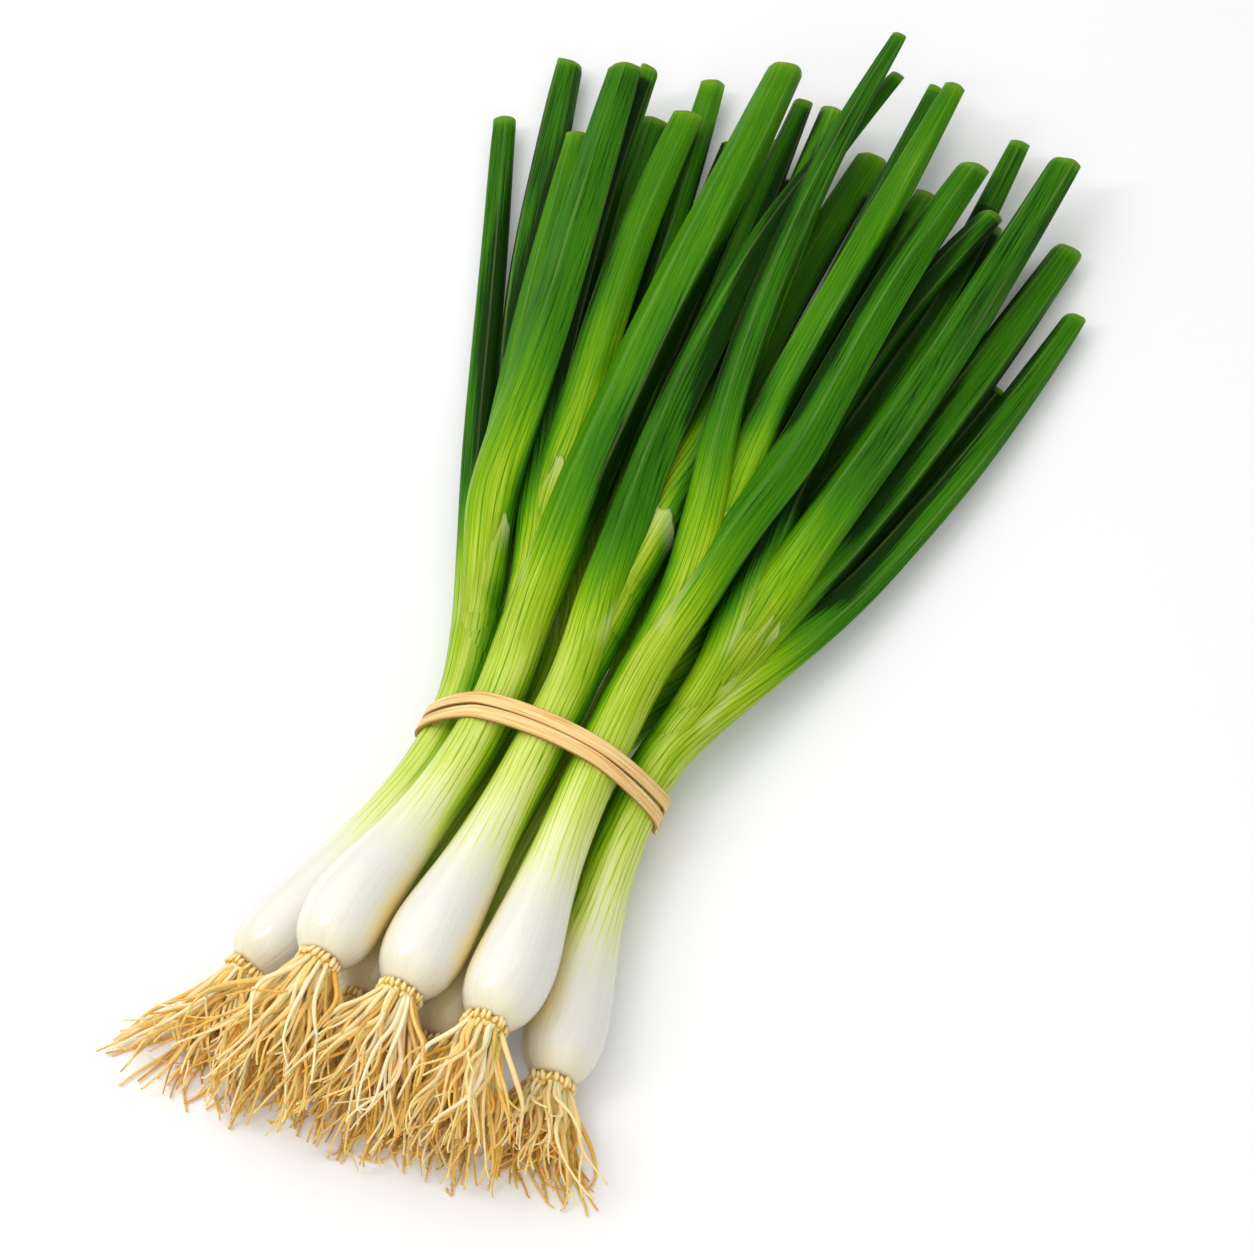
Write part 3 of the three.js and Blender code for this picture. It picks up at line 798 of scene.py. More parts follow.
@dataclass(frozen=True)
class FreshOnionSkin:
    """Fresh spring onion skin: glossy wet-white bulb, veined lime sheath and waxy deep green leaf.

    The white bulb is milky, so light goes some millimetres in and softens its shaded side, and it
    wears a thin wet coat. Both fade as the skin turns green, to a satin blade. Sheaths carry thin
    darker veins. Creases between stems and leaves get a deeper green as painted shade, and the white
    gets a cream tint beside the root plate and in creases, as painted warm bounce light and shade.
    """

    veins_around: float = 25.0
    vein_wander: float = 1.7
    slant_per_mm: float = 0.09
    fine_lines_around: float = 110.0
    patch_depth: float = 0.05
    streak_depth: float = 0.09
    crease_shade_gain: float = 0.44
    bounce_reach_mm: float = 9.0
    subsurface_mm: float = 4.0

    def _lines(self, tree: Tree, thin: float) -> Socket:
        """Thin veins that run along the skin.

        Args:
            tree: the material's node tree.
            thin: share of the spacing left between veins.

        Returns:
            1 on a vein and 0 between veins.
        """
        stray = maths(tree, "MULTIPLY", noise(tree, stretched(tree, 13.0, 0.02)), self.vein_wander)
        lean = maths(tree, "SUBTRACT", layer_value(tree, Layer.TONE), 0.5)
        slope = maths(tree, "MULTIPLY", lean, self.slant_per_mm)
        slanted = maths(tree, "MULTIPLY_ADD", layer_value(tree, Layer.ALONG), slope, stray)
        phase = maths(tree, "MULTIPLY_ADD", around_skin(tree), self.veins_around, slanted)
        wave = maths(tree, "PINGPONG", phase, 0.5)
        return ranged(tree, wave, (0.5 * thin, 0.5), kind="SMOOTHSTEP")

    def _vein_gain(self, tree: Tree, green: Socket) -> Socket:
        """How dark the veins are for each greenness: strongest on the lime sheaths."""
        gain = add_node(tree, "ShaderNodeFloatCurve", links={"Value": green})
        curve = gain.mapping.curves[0]
        for place, height in ((0.04, 0.06), (0.14, 0.19), (0.34, 0.25), (0.55, 0.17), (0.75, 0.09)):
            curve.points.new(place, height)
        curve.points[0].location = (0.0, 0.03)
        curve.points[len(curve.points) - 1].location = (1.0, 0.08)
        gain.mapping.update()
        return gain.outputs[0]

    def _body(self, tree: Tree, green: Socket) -> Socket:
        """Greenness with veins, streaks, patches and the deeper green painted into the creases as shade.

        Args:
            tree: the material's node tree.
            green: the skin's own greenness.

        Returns:
            The greenness that the colours follow.
        """
        patches = noise(tree, stretched(tree, 5.0, 0.022))
        streaks = noise(tree, stretched(tree, self.fine_lines_around, 0.03), roughness=0.6)
        gaps = noise(tree, stretched(tree, 30.0, 0.014), detail=1.0)
        broken = ranged(tree, gaps, (0.36, 0.62), (0.3, 1.1))
        veins = maths(tree, "MULTIPLY", self._lines(tree, 0.64), broken)
        veined = maths(tree, "MULTIPLY_ADD", veins, self._vein_gain(tree, green), green)
        uneven = ranged(tree, patches, (0.3, 0.7), (-self.patch_depth, self.patch_depth))
        streak = ranged(tree, streaks, (0.3, 0.7), (-self.streak_depth, self.streak_depth))
        varied = maths(tree, "ADD", uneven, streak)
        fade = ranged(tree, green, (0.02, 0.2))
        summed = maths(tree, "MULTIPLY_ADD", varied, fade, veined)
        # Painted shade: creases are pushed to a deeper, darker green.
        crease = maths(tree, "MULTIPLY", layer_value(tree, Layer.PAINTED_SHADE), fade)
        return maths(tree, "MULTIPLY_ADD", crease, self.crease_shade_gain, summed)

    def _colour(self, tree: Tree, green: Socket, total: Socket) -> Socket:
        """Colour of the skin, with painted warm shade and bounce light on the white, pale edges (real pale
        membranes, and a painted highlight along the leaf folds) and freshly cut rims.

        Args:
            tree: the material's node tree.
            green: the skin's own greenness.
            total: the greenness with veins and creases.

        Returns:
            The colour's socket.
        """
        body = add_ramp(tree, total, [
            (0.0, "E6E4DB"), (0.08, "E4E5CA"), (0.18, "E0E5A2"), (0.28, "D2DD76"), (0.38, "BCCF4E"),
            (0.48, "9CBB20"), (0.58, "7AA50B"), (0.68, "568F05"), (0.8, "3C7A08"), (0.9, "2C6706"),
            (1.0, "0E3000"),
        ])
        # Painted warm light and shade: the white turns cream beside the root plate, as light bounced off the
        # roots, and in creases, as warm shade.
        warmth = ranged(tree, green, (0.0, 0.16), (1.0, 0.0))
        base = ranged(tree, layer_value(tree, Layer.ALONG), (0.0, self.bounce_reach_mm), (0.4, 0.0))
        painted_warmth = maths(tree, "MAXIMUM", layer_value(tree, Layer.PAINTED_SHADE), base)
        warm_shaded = tinted(tree, maths(tree, "MULTIPLY", painted_warmth, warmth), body, "E8D692")
        # Pale edges: the real pale membrane of sheath mouths and tops, and a painted highlight along the leaf
        # folds.
        pale = tinted(tree, layer_value(tree, Layer.EDGE), warm_shaded, "DCE89A")
        return tinted(tree, layer_value(tree, Layer.RIM), pale, "7DB52C")

    def build(self) -> bpy.types.Material:
        """Makes the material.

        Returns:
            The material for bulbs, sheaths and leaves.
        """
        material, tree = new_material("fresh_onion_skin")
        green = layer_value(tree, Layer.GREEN)
        total = self._body(tree, green)
        fine = noise(tree, stretched(tree, self.fine_lines_around, 0.02))
        height = maths(tree, "MULTIPLY_ADD", self._lines(tree, 0.4), -0.6, fine)
        add_surface(
            tree,
            {
                "IOR": 1.4, "Specular IOR Level": 0.1,
                "Subsurface Scale": self.subsurface_mm * MM, "Subsurface Radius": (1.0, 0.95, 0.7),
                "Coat Roughness": 0.1,
            },
            {
                "Base Color": self._colour(tree, green, total),
                "Roughness": ranged(tree, total, (0.1, 0.8), (0.2, 0.5)),
                "Coat Weight": ranged(tree, green, (0.08, 0.5), (0.7, 0.02)),
                "Subsurface Weight": ranged(tree, green, (0.05, 0.4), (0.8, 0.25)),
                "Normal": relief(tree, height, 0.7, 0.12),
            },
        )
        return material


@dataclass(frozen=True)
class DryRootFibre:
    """Dry straw-coloured root fibre and knobbly root plate: matt, with light going a little way in."""

    grain_mm: float = 1.2
    grain_depth: float = 0.25

    def build(self) -> bpy.types.Material:
        """Makes the material.

        Returns:
            The material for root tufts.
        """
        material, tree = new_material("dry_root_fibre")
        place = add_node(tree, "ShaderNodeTexCoord").outputs["Object"]
        grain = noise(tree, place, detail=3.0, scale=1.0 / (self.grain_mm * MM))
        blend = maths(tree, "MULTIPLY_ADD", grain, self.grain_depth, layer_value(tree, Layer.TONE))
        # The tone carries the roots' painted light and shade as well as their own varied colour.
        fibre = add_ramp(tree, blend, [
            (0.0, "B87C22"), (0.12, "D09A3A"), (0.26, "E8BC60"), (0.46, "F8D88C"), (0.8, "FCEAC2"),
        ])
        knob = layer_value(tree, Layer.KNOB)
        knobs = add_ramp(tree, knob, [
            (0.0, "A06C18"), (0.35, "E0AE4E"), (0.65, "F8D88E"), (1.0, "FFEFC6"),
        ])
        on_plate = maths(tree, "GREATER_THAN", knob, 0.001)
        colour = add_node(tree, "ShaderNodeMix", {"data_type": "RGBA"}, {0: on_plate, 6: fibre, 7: knobs})
        add_surface(
            tree,
            {
                "IOR": 1.45, "Roughness": 0.55, "Specular IOR Level": 0.07,
                "Subsurface Weight": 0.4, "Subsurface Scale": 1.2 * MM,
            },
            {"Base Color": colour.outputs[2], "Normal": relief(tree, grain, 0.4, 0.2)},
        )
        return material


@dataclass(frozen=True)
class TanElastic:
    """Tan elastic strip with fine lengthwise fibres, and painted shade darkening its edges and grooves."""

    fibres_across: float = 22.0

    def build(self) -> bpy.types.Material:
        """Makes the material.

        Returns:
            The material for the tie.
        """
        material, tree = new_material("tan_elastic")
        fibres = noise(tree, stretched(tree, self.fibres_across, 0.05), detail=3.0, roughness=0.6)
        colour = add_ramp(tree, fibres, [
            (0.28, "C48B40"), (0.42, "EABB72"), (0.56, "F8D795"), (0.72, "FDE9B6"),
        ])
        # Painted shade: the strip's edges, where the two turns meet, and its grooves are darkened.
        shade_edged = tinted(tree, layer_value(tree, Layer.EDGE), colour, "94602A")
        add_surface(
            tree, {"IOR": 1.5, "Roughness": 0.5, "Specular IOR Level": 0.25},
            {"Base Color": shade_edged, "Normal": relief(tree, fibres, 0.5, 0.15)},
        )
        return material


@dataclass(frozen=True)
class WhiteTable:
    """Matt white laminate table top, near pure white under the lights.

    It gives off a little light of its own, which keeps it even out to the picture's corners.
    """

    def build(self) -> bpy.types.Material:
        """Makes the material.

        Returns:
            The material for the table.
        """
        material, tree = new_material("white_table")
        add_surface(tree, {
            "Base Color": linear("E8E8E8"), "Roughness": 0.9,
            "Emission Color": linear("FFFFFF"), "Emission Strength": 0.09,
        })
        return material


# ---------------------------------------------------------------- shoots
def softened(values: np.ndarray, spacing: float, reach: float) -> np.ndarray:
    """Values along a run, averaged with their neighbours.

    Args:
        values: numbers or points along the run, evenly spaced.
        spacing: distance between them.
        reach: width of the averaging.

    Returns:
        The softened values.
    """
    half = max(1, int(round(2.5 * reach / spacing)))
    weight = np.exp(-0.5 * (np.arange(-half, half + 1) * spacing / reach) ** 2)
    weight /= weight.sum()
    flat = values.reshape(len(values), -1)
    head = 2 * flat[:1] - flat[half:0:-1]
    tail = 2 * flat[-1:] - flat[-2:-half - 2:-1]
    padded = np.concatenate([head, flat, tail])
    soft = np.stack([np.convolve(column, weight, mode="valid") for column in padded.T], axis=1)
    return soft.reshape(values.shape)


@dataclass
class Shoot:
    """Bulb, stem, nested sheaths and hollow leaves of one onion."""

    number: int
    onion: OnionPlan
    bundle: Bundle
    stem_sides: int = 64
    leaf_sides: int = 48
    fold_count: int = 5
    fold_sharpness: float = 9.0
    leaf_wall: float = 0.75
    recess: float = 9.0
    tip_trim: float = 0.8
    nest_step: float = 0.4
    bow: float = 1.3
    fit: float = 0.985
    part_length: float = 18.0
    soften_reach: float = 5.0
    sweep_reach: float = 11.0
    membrane_reach: float = 1.2
    run_spacing: float = 1.0
    bow_rise: float = 12.0
    bow_hold: float = 20.0
    bow_fall: float = 34.0
    sweep_rise: float = 24.0
    soften_rise: float = 20.0
    nest_fade: float = 25.0
    blade_green: float = 0.85
    green_start: tuple[float, float] = (2.0, 8.0)
    green_length: tuple[float, float] = (52.0, 78.0)
    green_scatter: float = 20.0
    crease_reach: float = 8.0
    crease_rise: float = 30.0
    shade: float = 0.6
    shade_length: float = 20.0
    blade_from: float = 10.0
    blade_over: float = 60.0
    calm_length: float = 45.0
    widest_fold: float = 1.12
    knife_slant: float = 0.28
    rim_tones: tuple[float, ...] = (0.8, 0.5, 0.1, 0.0, 0.0)
    fold_highlight: float = 0.1
    mouth_tone: float = 0.3
    mouth_opens: tuple[float, float] = (4.0, 8.0)
    mouth_closes: tuple[float, float] = (18.0, 22.0)
    fold_jitter: float = 0.22
    fold_depths: tuple[float, float] = (0.84, 0.98)
    fold_line: float = 0.1
    torn_below: float = 18.0
    torn_above: float = 14.0
    torn_fade: float = 11.0
    torn_tone: float = 0.42

    def __post_init__(self) -> None:
        """Finds the onion's strands and softens each nested layer's run."""
        own = [i for i, strand in enumerate(self.bundle.strands) if strand.owner == self.number - 1]
        self.stem_strand, self.leaf_strands = own[0], own[1:]
        self.runs = [self._layer_run(index) for index in range(len(self.onion.leaves))]
        self.tones = np.random.default_rng(900 + self.number).uniform(0, 1, len(self.onion.leaves))

    def _core(self, y: np.ndarray) -> np.ndarray:
        """Run of the stem, then of the heart leaf.

        Args:
            y: heights along the bunch.

        Returns:
            Place across and up at each height.
        """
        stem = self.bundle.centre(self.stem_strand, y)
        heart = self.bundle.centre(self.leaf_strands[-1], y)
        return np.where((y < self.onion.heart.split_y)[:, None], stem, heart)

    def _layer_run(self, index: int) -> tuple[np.ndarray, np.ndarray, np.ndarray]:
        """Heights, places and radii of a nested layer: up the stem, then along its leaf.

        Args:
            index: the leaf's number, outermost first.

        Returns:
            Heights every millimetre, (x, z) at each and the radius at each.
        """
        leaf = self.onion.leaves[index]
        y = np.arange(self.onion.plate[1], leaf.tip[1] + 0.5, self.run_spacing)
        part = smooth((y - leaf.split_y) / self.part_length)[:, None]
        blade = self.bundle.centre(self.leaf_strands[index], y)
        place = self._core(y) * (1 - part) + blade * part
        if leaf is not self.onion.heart:
            ahead = np.array([leaf.split_y + self.bow_fall])
            away = (self.bundle.centre(self.leaf_strands[index], ahead) - self._core(ahead))[0]
            bowed = smooth((y - leaf.split_y) / self.bow_rise)
            bowed = bowed * (1 - smooth((y - leaf.split_y - self.bow_hold) / self.bow_fall))
            place = place + bowed[:, None] * away / (np.linalg.norm(away) + 1e-6) * self.bow
        above = smooth((y - TIE_Y - ABOVE_TIE) / self.sweep_rise)[:, None]
        near_run = softened(place, self.run_spacing, self.soften_reach)
        far_run = softened(place, self.run_spacing, self.sweep_reach)
        place = near_run * (1 - above) + far_run * above
        stem = stem_radius(self.onion, y)
        spread = leaf_radius(stem_radius(self.onion, leaf.split_y), leaf, y)
        radius = np.where(y < leaf.split_y, stem, spread)
        high = smooth((y - TIE_Y) / self.soften_rise)
        radius = radius * (1 - high) + softened(radius, self.run_spacing, self.soften_reach) * high
        nested = self.nest_step * index * (1 - smooth((y - leaf.split_y) / self.nest_fade))
        return y, place, radius * self.fit - nested

    def _layer_centres(self, index: int, y: np.ndarray) -> np.ndarray:
        """Points of a nested layer's run, shaped (heights, 3)."""
        heights, place, _ = self.runs[index]
        return np.stack([np.interp(y, heights, place[:, 0]), y, np.interp(y, heights, place[:, 1])], axis=1)

    def _layer_radius(self, index: int, y: np.ndarray) -> np.ndarray:
        """Radius of a nested layer at each height."""
        heights, _, radius = self.runs[index]
        return np.interp(y, heights, radius)

    def _greenness(self, index: int, y: np.ndarray) -> np.ndarray:
        """How green a layer is, from 0 at the white bulb to 1 on the darkest blade.

        Args:
            index: the leaf's number, outermost first.
            y: heights along the bunch.

        Returns:
            The greenness at each height.
        """
        along = y - self.onion.plate[1] + EARLY_GREEN.get(self.number, 0.0)
        stem = np.interp(along, *zip(*STEM_GREEN))
        late = index / max(1, len(self.onion.leaves) - 1)
        start = mix(*self.green_start, late) + self.green_scatter * float(self.tones[index])
        past = smooth((y - self.onion.leaves[index].split_y - start) / mix(*self.green_length, late))
        return stem + (self.blade_green - stem) * past

    def _crease_shade(self, rings: np.ndarray, index: int) -> np.ndarray:
        """Painted shade: how deep each point lies in the creases between this layer and other stems and
        leaves.

        Args:
            rings: the layer's points, shaped (rings, sides, 3).
            index: the layer's leaf number, outermost first.

        Returns:
            0 in the open to 1 where another stem or leaf touches.
        """
        heights = rings[:, :, 1].mean(axis=1)
        flat = flatness(heights)[:, None]
        gap = np.full(rings.shape[:2], FAR_OFF)
        for other, strand in enumerate(self.bundle.strands):
            if other in (self.stem_strand, self.leaf_strands[index]):
                continue
            low, high = (FIRST_STATION + STATION_STEP * k for k in (strand.first, strand.last))
            if other in self.leaf_strands:
                twin = self.onion.leaves[self.leaf_strands.index(other)]
                parted = max(twin.split_y, self.onion.leaves[index].split_y) + self.crease_rise
                low = max(low, parted)
            rows = np.nonzero((heights >= low) & (heights <= high))[0]
            if not len(rows):
                continue
            centre = self.bundle.centre(other, heights[rows])
            radius = np.interp(heights[rows], self.bundle.heights, strand.radius)
            across = rings[rows, :, 0] - centre[:, 0:1]
            rise = (rings[rows, :, 2] - centre[:, 1:2]) / flat[rows]
            apart = np.hypot(across, rise) - radius[:, None]
            if other in self.leaf_strands:
                early = 1 - smooth((heights[rows] - low) / self.crease_rise)
                apart = apart + self.crease_reach * early[:, None]
            gap[rows] = np.minimum(gap[rows], apart)
        return 1.0 - smooth(gap / self.crease_reach)

    def _ring_heights(self, index: int) -> np.ndarray:
        """Heights of a layer's rings, closest together where it leaves its sheath.

        Args:
            index: the leaf's number, outermost first.

        Returns:
            The heights along the bunch, the last at the cut.
        """
        leaf, outermost = self.onion.leaves[index], index == 0
        plate_y, end = self.onion.plate[1], leaf.tip[1] - self.tip_trim
        first = plate_y + 12.0 if outermost else self.onion.leaves[0].split_y - 14.0
        near_split = np.arange(max(first, leaf.split_y - 6.0), leaf.split_y + 50.0, 1.25)
        below = np.arange(first, near_split[0] - 1.0, 2.2)
        above = np.arange(near_split[-1] + 2.0, end - 1.5, 2.6)
        base = [plate_y + np.array(BASE_RINGS)] if outermost else []
        return np.concatenate(base + [below, near_split, above, [end]])

    def _layer(self, skin: Skin, index: int, draw: np.random.Generator) -> None:
        """Rolls one nested layer, from the plate or from inside its sheath to its hollow cut end.

        Args:
            skin: the mesh being gathered.
            index: the leaf's number, outermost first.
            draw: the onion's own draws.
        """
        leaf = self.onion.leaves[index]
        plate_y, y = self.onion.plate[1], self._ring_heights(index)
        end = y[-1]
        sides = self.stem_sides if index == 0 else self.leaf_sides
        centres = self._layer_centres(index, y)
        radius = self._layer_radius(index, y)
        angle = 2 * math.pi * np.arange(sides) / sides
        blade = smooth((y - leaf.split_y - self.blade_from) / self.blade_over)[:, None]
        phase = draw.uniform(0, ANY_PHASE, 3)
        twist = angle[None] + phase[0] + draw.uniform(-0.5, 0.5) * (y[:, None] - leaf.split_y) / 200
        fold, crisp = self._folds(twist, angle - math.pi / 2, draw)
        calm = 0.55 + 0.45 * smooth((end - y - 4.0) / self.calm_length)[:, None]
        fold = 1.0 + (np.minimum(fold, self.widest_fold) - 1.0) * calm
        ridges = draw.uniform(0.008, 0.016) * (np.cos(7 * twist + phase[2]) - 1.0)
        rings = tube_rings(centres, radius, flatness(y), sides, 1.0 + blade * (fold + ridges - 1.0))
        rings[-1, :, 1] += self._tilt(rings[-1], draw.uniform(-self.knife_slant, self.knife_slant, 2))
        near = self._crease_shade(rings, index)
        # Painted warm shade on the lower onions' bulbs over their first millimetres, as they lie in the front
        # row's shade.
        if self.number > FRONT_COUNT:
            shaded = 1 - smooth((y - plate_y - self.shade_length) / self.shade_length)
            near = np.maximum(near, self.shade * shaded[:, None])
        mouth = self._mouth(index, rings)
        rim = np.zeros(len(y))
        rim[-1] = 0.7
        green = self._greenness(index, y) + draw.uniform(-0.1, 0.06) * blade[:, 0]
        tip = smooth((y - end + 7) / 7) * 0.12
        inner = self._hollow(rings[-1], centres, radius[-1])
        rings = np.concatenate([self._pole(rings[0]), rings, inner, self._pole(inner[-1])])
        extra = len(inner) + 1
        along = np.concatenate([y[:1], y, np.full(extra, y[-1])]) - plate_y
        rim = np.concatenate([[0.0], rim, self.rim_tones])
        green = np.concatenate([green[:1], green - tip, np.full(extra, self.blade_green)])
        near = np.concatenate([near[:1], near, np.zeros((extra, sides))])
        # Painted highlight along the leaf folds, plus the sheath mouth's real pale membrane.
        edge = self.fold_highlight * blade * crisp + mouth
        edge = np.concatenate([edge[:1], edge, np.zeros((extra, sides))])
        skin.roll(rings, {
            Layer.ALONG: along[:, None], Layer.GREEN: green[:, None], Layer.EDGE: edge,
            Layer.PAINTED_SHADE: near, Layer.RIM: rim[:, None], Layer.TONE: float(self.tones[index]),
        })

    def _mouth(self, index: int, rings: np.ndarray) -> np.ndarray:
        """How close each point of a layer lies to where it opens round the next layer in.

        Args:
            index: the leaf's number, outermost first.
            rings: the layer's points, shaped (rings, sides, 3).

        Returns:
            0 away from the opening to the mouth's tone along its thin pale membrane.
        """
        if index + 1 >= len(self.onion.leaves):
            return np.zeros(rings.shape[:2])
        y = rings[:, :, 1].mean(axis=1)
        centre = self._layer_centres(index + 1, y)
        across = rings[:, :, 0] - centre[:, None, 0]
        rise = (rings[:, :, 2] - centre[:, None, 2]) / flatness(y)[:, None]
        depth = np.abs(np.hypot(across, rise) - self._layer_radius(index + 1, y)[:, None])
        past = y - self.onion.leaves[index].split_y
        (opens, opening), (closes, closing) = self.mouth_opens, self.mouth_closes
        span = smooth((past - opens) / opening) * (1.0 - smooth((past - closes) / closing))
        return self.mouth_tone * span[:, None] * (1.0 - smooth((depth - 0.2) / self.membrane_reach))

    def _folds(
        self, turn: np.ndarray, ring_angle: np.ndarray, draw: np.random.Generator
    ) -> tuple[np.ndarray, np.ndarray]:
        """Outline of a leaf that has gone flat between soft folds.

        Args:
            turn: the angle of each point round the leaf, turned with its twist.
            ring_angle: the angle of each point from straight across.
            draw: the onion's own draws.

        Returns:
            Share of the radius at each point and how close each lies to a fold.
        """
        count = self.fold_count
        shifted = np.arange(count) + draw.uniform(-self.fold_jitter, self.fold_jitter, count)
        faces = 2 * math.pi * shifted / count
        depth = draw.uniform(*self.fold_depths, count)
        lean = np.maximum(np.cos(turn[..., None] - faces), 0.0) / depth
        reach = (lean**self.fold_sharpness).sum(axis=-1) ** (-1.0 / self.fold_sharpness)
        reach = reach / np.abs(reach * np.cos(ring_angle)).max(axis=-1, keepdims=True)
        ordered = np.sort(lean, axis=-1)
        crisp = np.clip(1.0 - (ordered[..., -1] - ordered[..., -2]) / self.fold_line, 0.0, 1.0)
        return reach, crisp

    def _tilt(self, ring: np.ndarray, slant: np.ndarray) -> np.ndarray:
        """How far each point of a cut ring is set back by the slant of the knife."""
        middle = ring.mean(axis=0)
        back = (ring[:, 0] - middle[0]) * slant[0] + (ring[:, 2] - middle[2]) * slant[1]
        return back - back.max()

    def _hollow(self, cut: np.ndarray, centres: np.ndarray, radius: float) -> np.ndarray:
        """Rings of the rim and of the hollow inside the cut end.

        Args:
            cut: the cut ring's points.
            centres: the leaf's run.
            radius: its radius at the cut.

        Returns:
            Four rings going back into the leaf.
        """
        middle = cut.mean(axis=0)
        heading = centres[-1] - centres[-2]
        heading /= np.linalg.norm(heading)
        share = 1.0 - self.leaf_wall / radius
        marks = (
            (share + 0.06, 0.25), (share, 0.7), (share * 0.97, self.recess * 0.5),
            (share * 0.9, self.recess),
        )
        return np.array([middle + (cut - middle) * size - heading * deep for size, deep in marks])

    def _pole(self, ring: np.ndarray) -> np.ndarray:
        """A ring shrunk to its middle, to close an end."""
        return np.repeat(ring.mean(axis=0)[None], len(ring), axis=0)[None]

    def _sheath_top(self, skin: Skin, draw: np.random.Generator) -> None:
        """Rolls the torn pale top of the innermost sheath, round the heart leaf.

        Args:
            skin: the mesh being gathered.
            draw: the onion's own draws.
        """
        index = len(self.onion.leaves) - 1
        split = self.onion.heart.split_y
        y = np.arange(split - self.torn_below, split + self.torn_above, self.run_spacing)
        radius = self._layer_radius(index, y) - 0.15 + 0.35 * smooth((y - y[0]) / 20.0)
        sides = self.leaf_sides
        rings = tube_rings(self._layer_centres(index, y), radius, flatness(y), sides)
        angle = 2 * math.pi * np.arange(sides) / sides - math.pi / 2
        turn = draw.uniform(0, ANY_PHASE)
        lift = 5.0 * np.cos(angle - math.pi / 2 - 0.5) + 1.1 * np.cos(5 * angle + turn)
        lift = lift + 0.6 * np.cos(11 * angle)
        rings[:, :, 1] += np.linspace(0, 1, len(y))[:, None] ** 2 * lift
        green = self._greenness(index, y) * (1.0 - 0.1 * smooth((y - y[0]) / 24.0))
        near = self._crease_shade(rings, index)
        last = rings[-1]
        middle = last.mean(axis=0)
        closing = middle + (last - middle) * (1 - 0.5 / radius[-1])
        closing[:, 1] = last[:, 1] - 0.4
        rings = np.concatenate([self._pole(rings[0]), rings, closing[None], self._pole(closing)])
        along = np.concatenate([y[:1], y, y[-1:], y[-1:]]) - self.onion.plate[1]
        fade = np.concatenate([[0], smooth((y - y[-1] + self.torn_fade) / self.torn_fade), [1, 1]])
        green = np.concatenate([green[:1], green, green[-1:], green[-1:]])
        near = np.concatenate([near[:1], near, near[-1:], near[-1:]])
        skin.roll(rings, {
            Layer.ALONG: along[:, None], Layer.GREEN: green[:, None],
            Layer.EDGE: self.torn_tone * fade[:, None], Layer.PAINTED_SHADE: near,
            Layer.RIM: 0.0, Layer.TONE: float(self.tones[index]),
        })

    def build(self, material: bpy.types.Material, shift: Vector) -> bpy.types.Object:
        """Makes and dresses the shoot.

        Args:
            material: the fresh onion skin.
            shift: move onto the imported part's frame, in metres.

        Returns:
            The shoot's object.
        """
        draw = np.random.default_rng(500 + self.number)
        layers = (Layer.ALONG, Layer.GREEN, Layer.EDGE, Layer.RIM, Layer.TONE, Layer.PAINTED_SHADE)
        skin = Skin(f"shoot_{self.number}", layers)
        for index in range(len(self.onion.leaves)):
            self._layer(skin, index, draw)
        self._sheath_top(skin, draw)
        piece = skin.make(material, shift)
        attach(piece, "root")
        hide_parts(f"onion_{self.number}_shoot")
        LOG.info("%s: %d faces", piece.name, len(piece.data.polygons))
        return piece


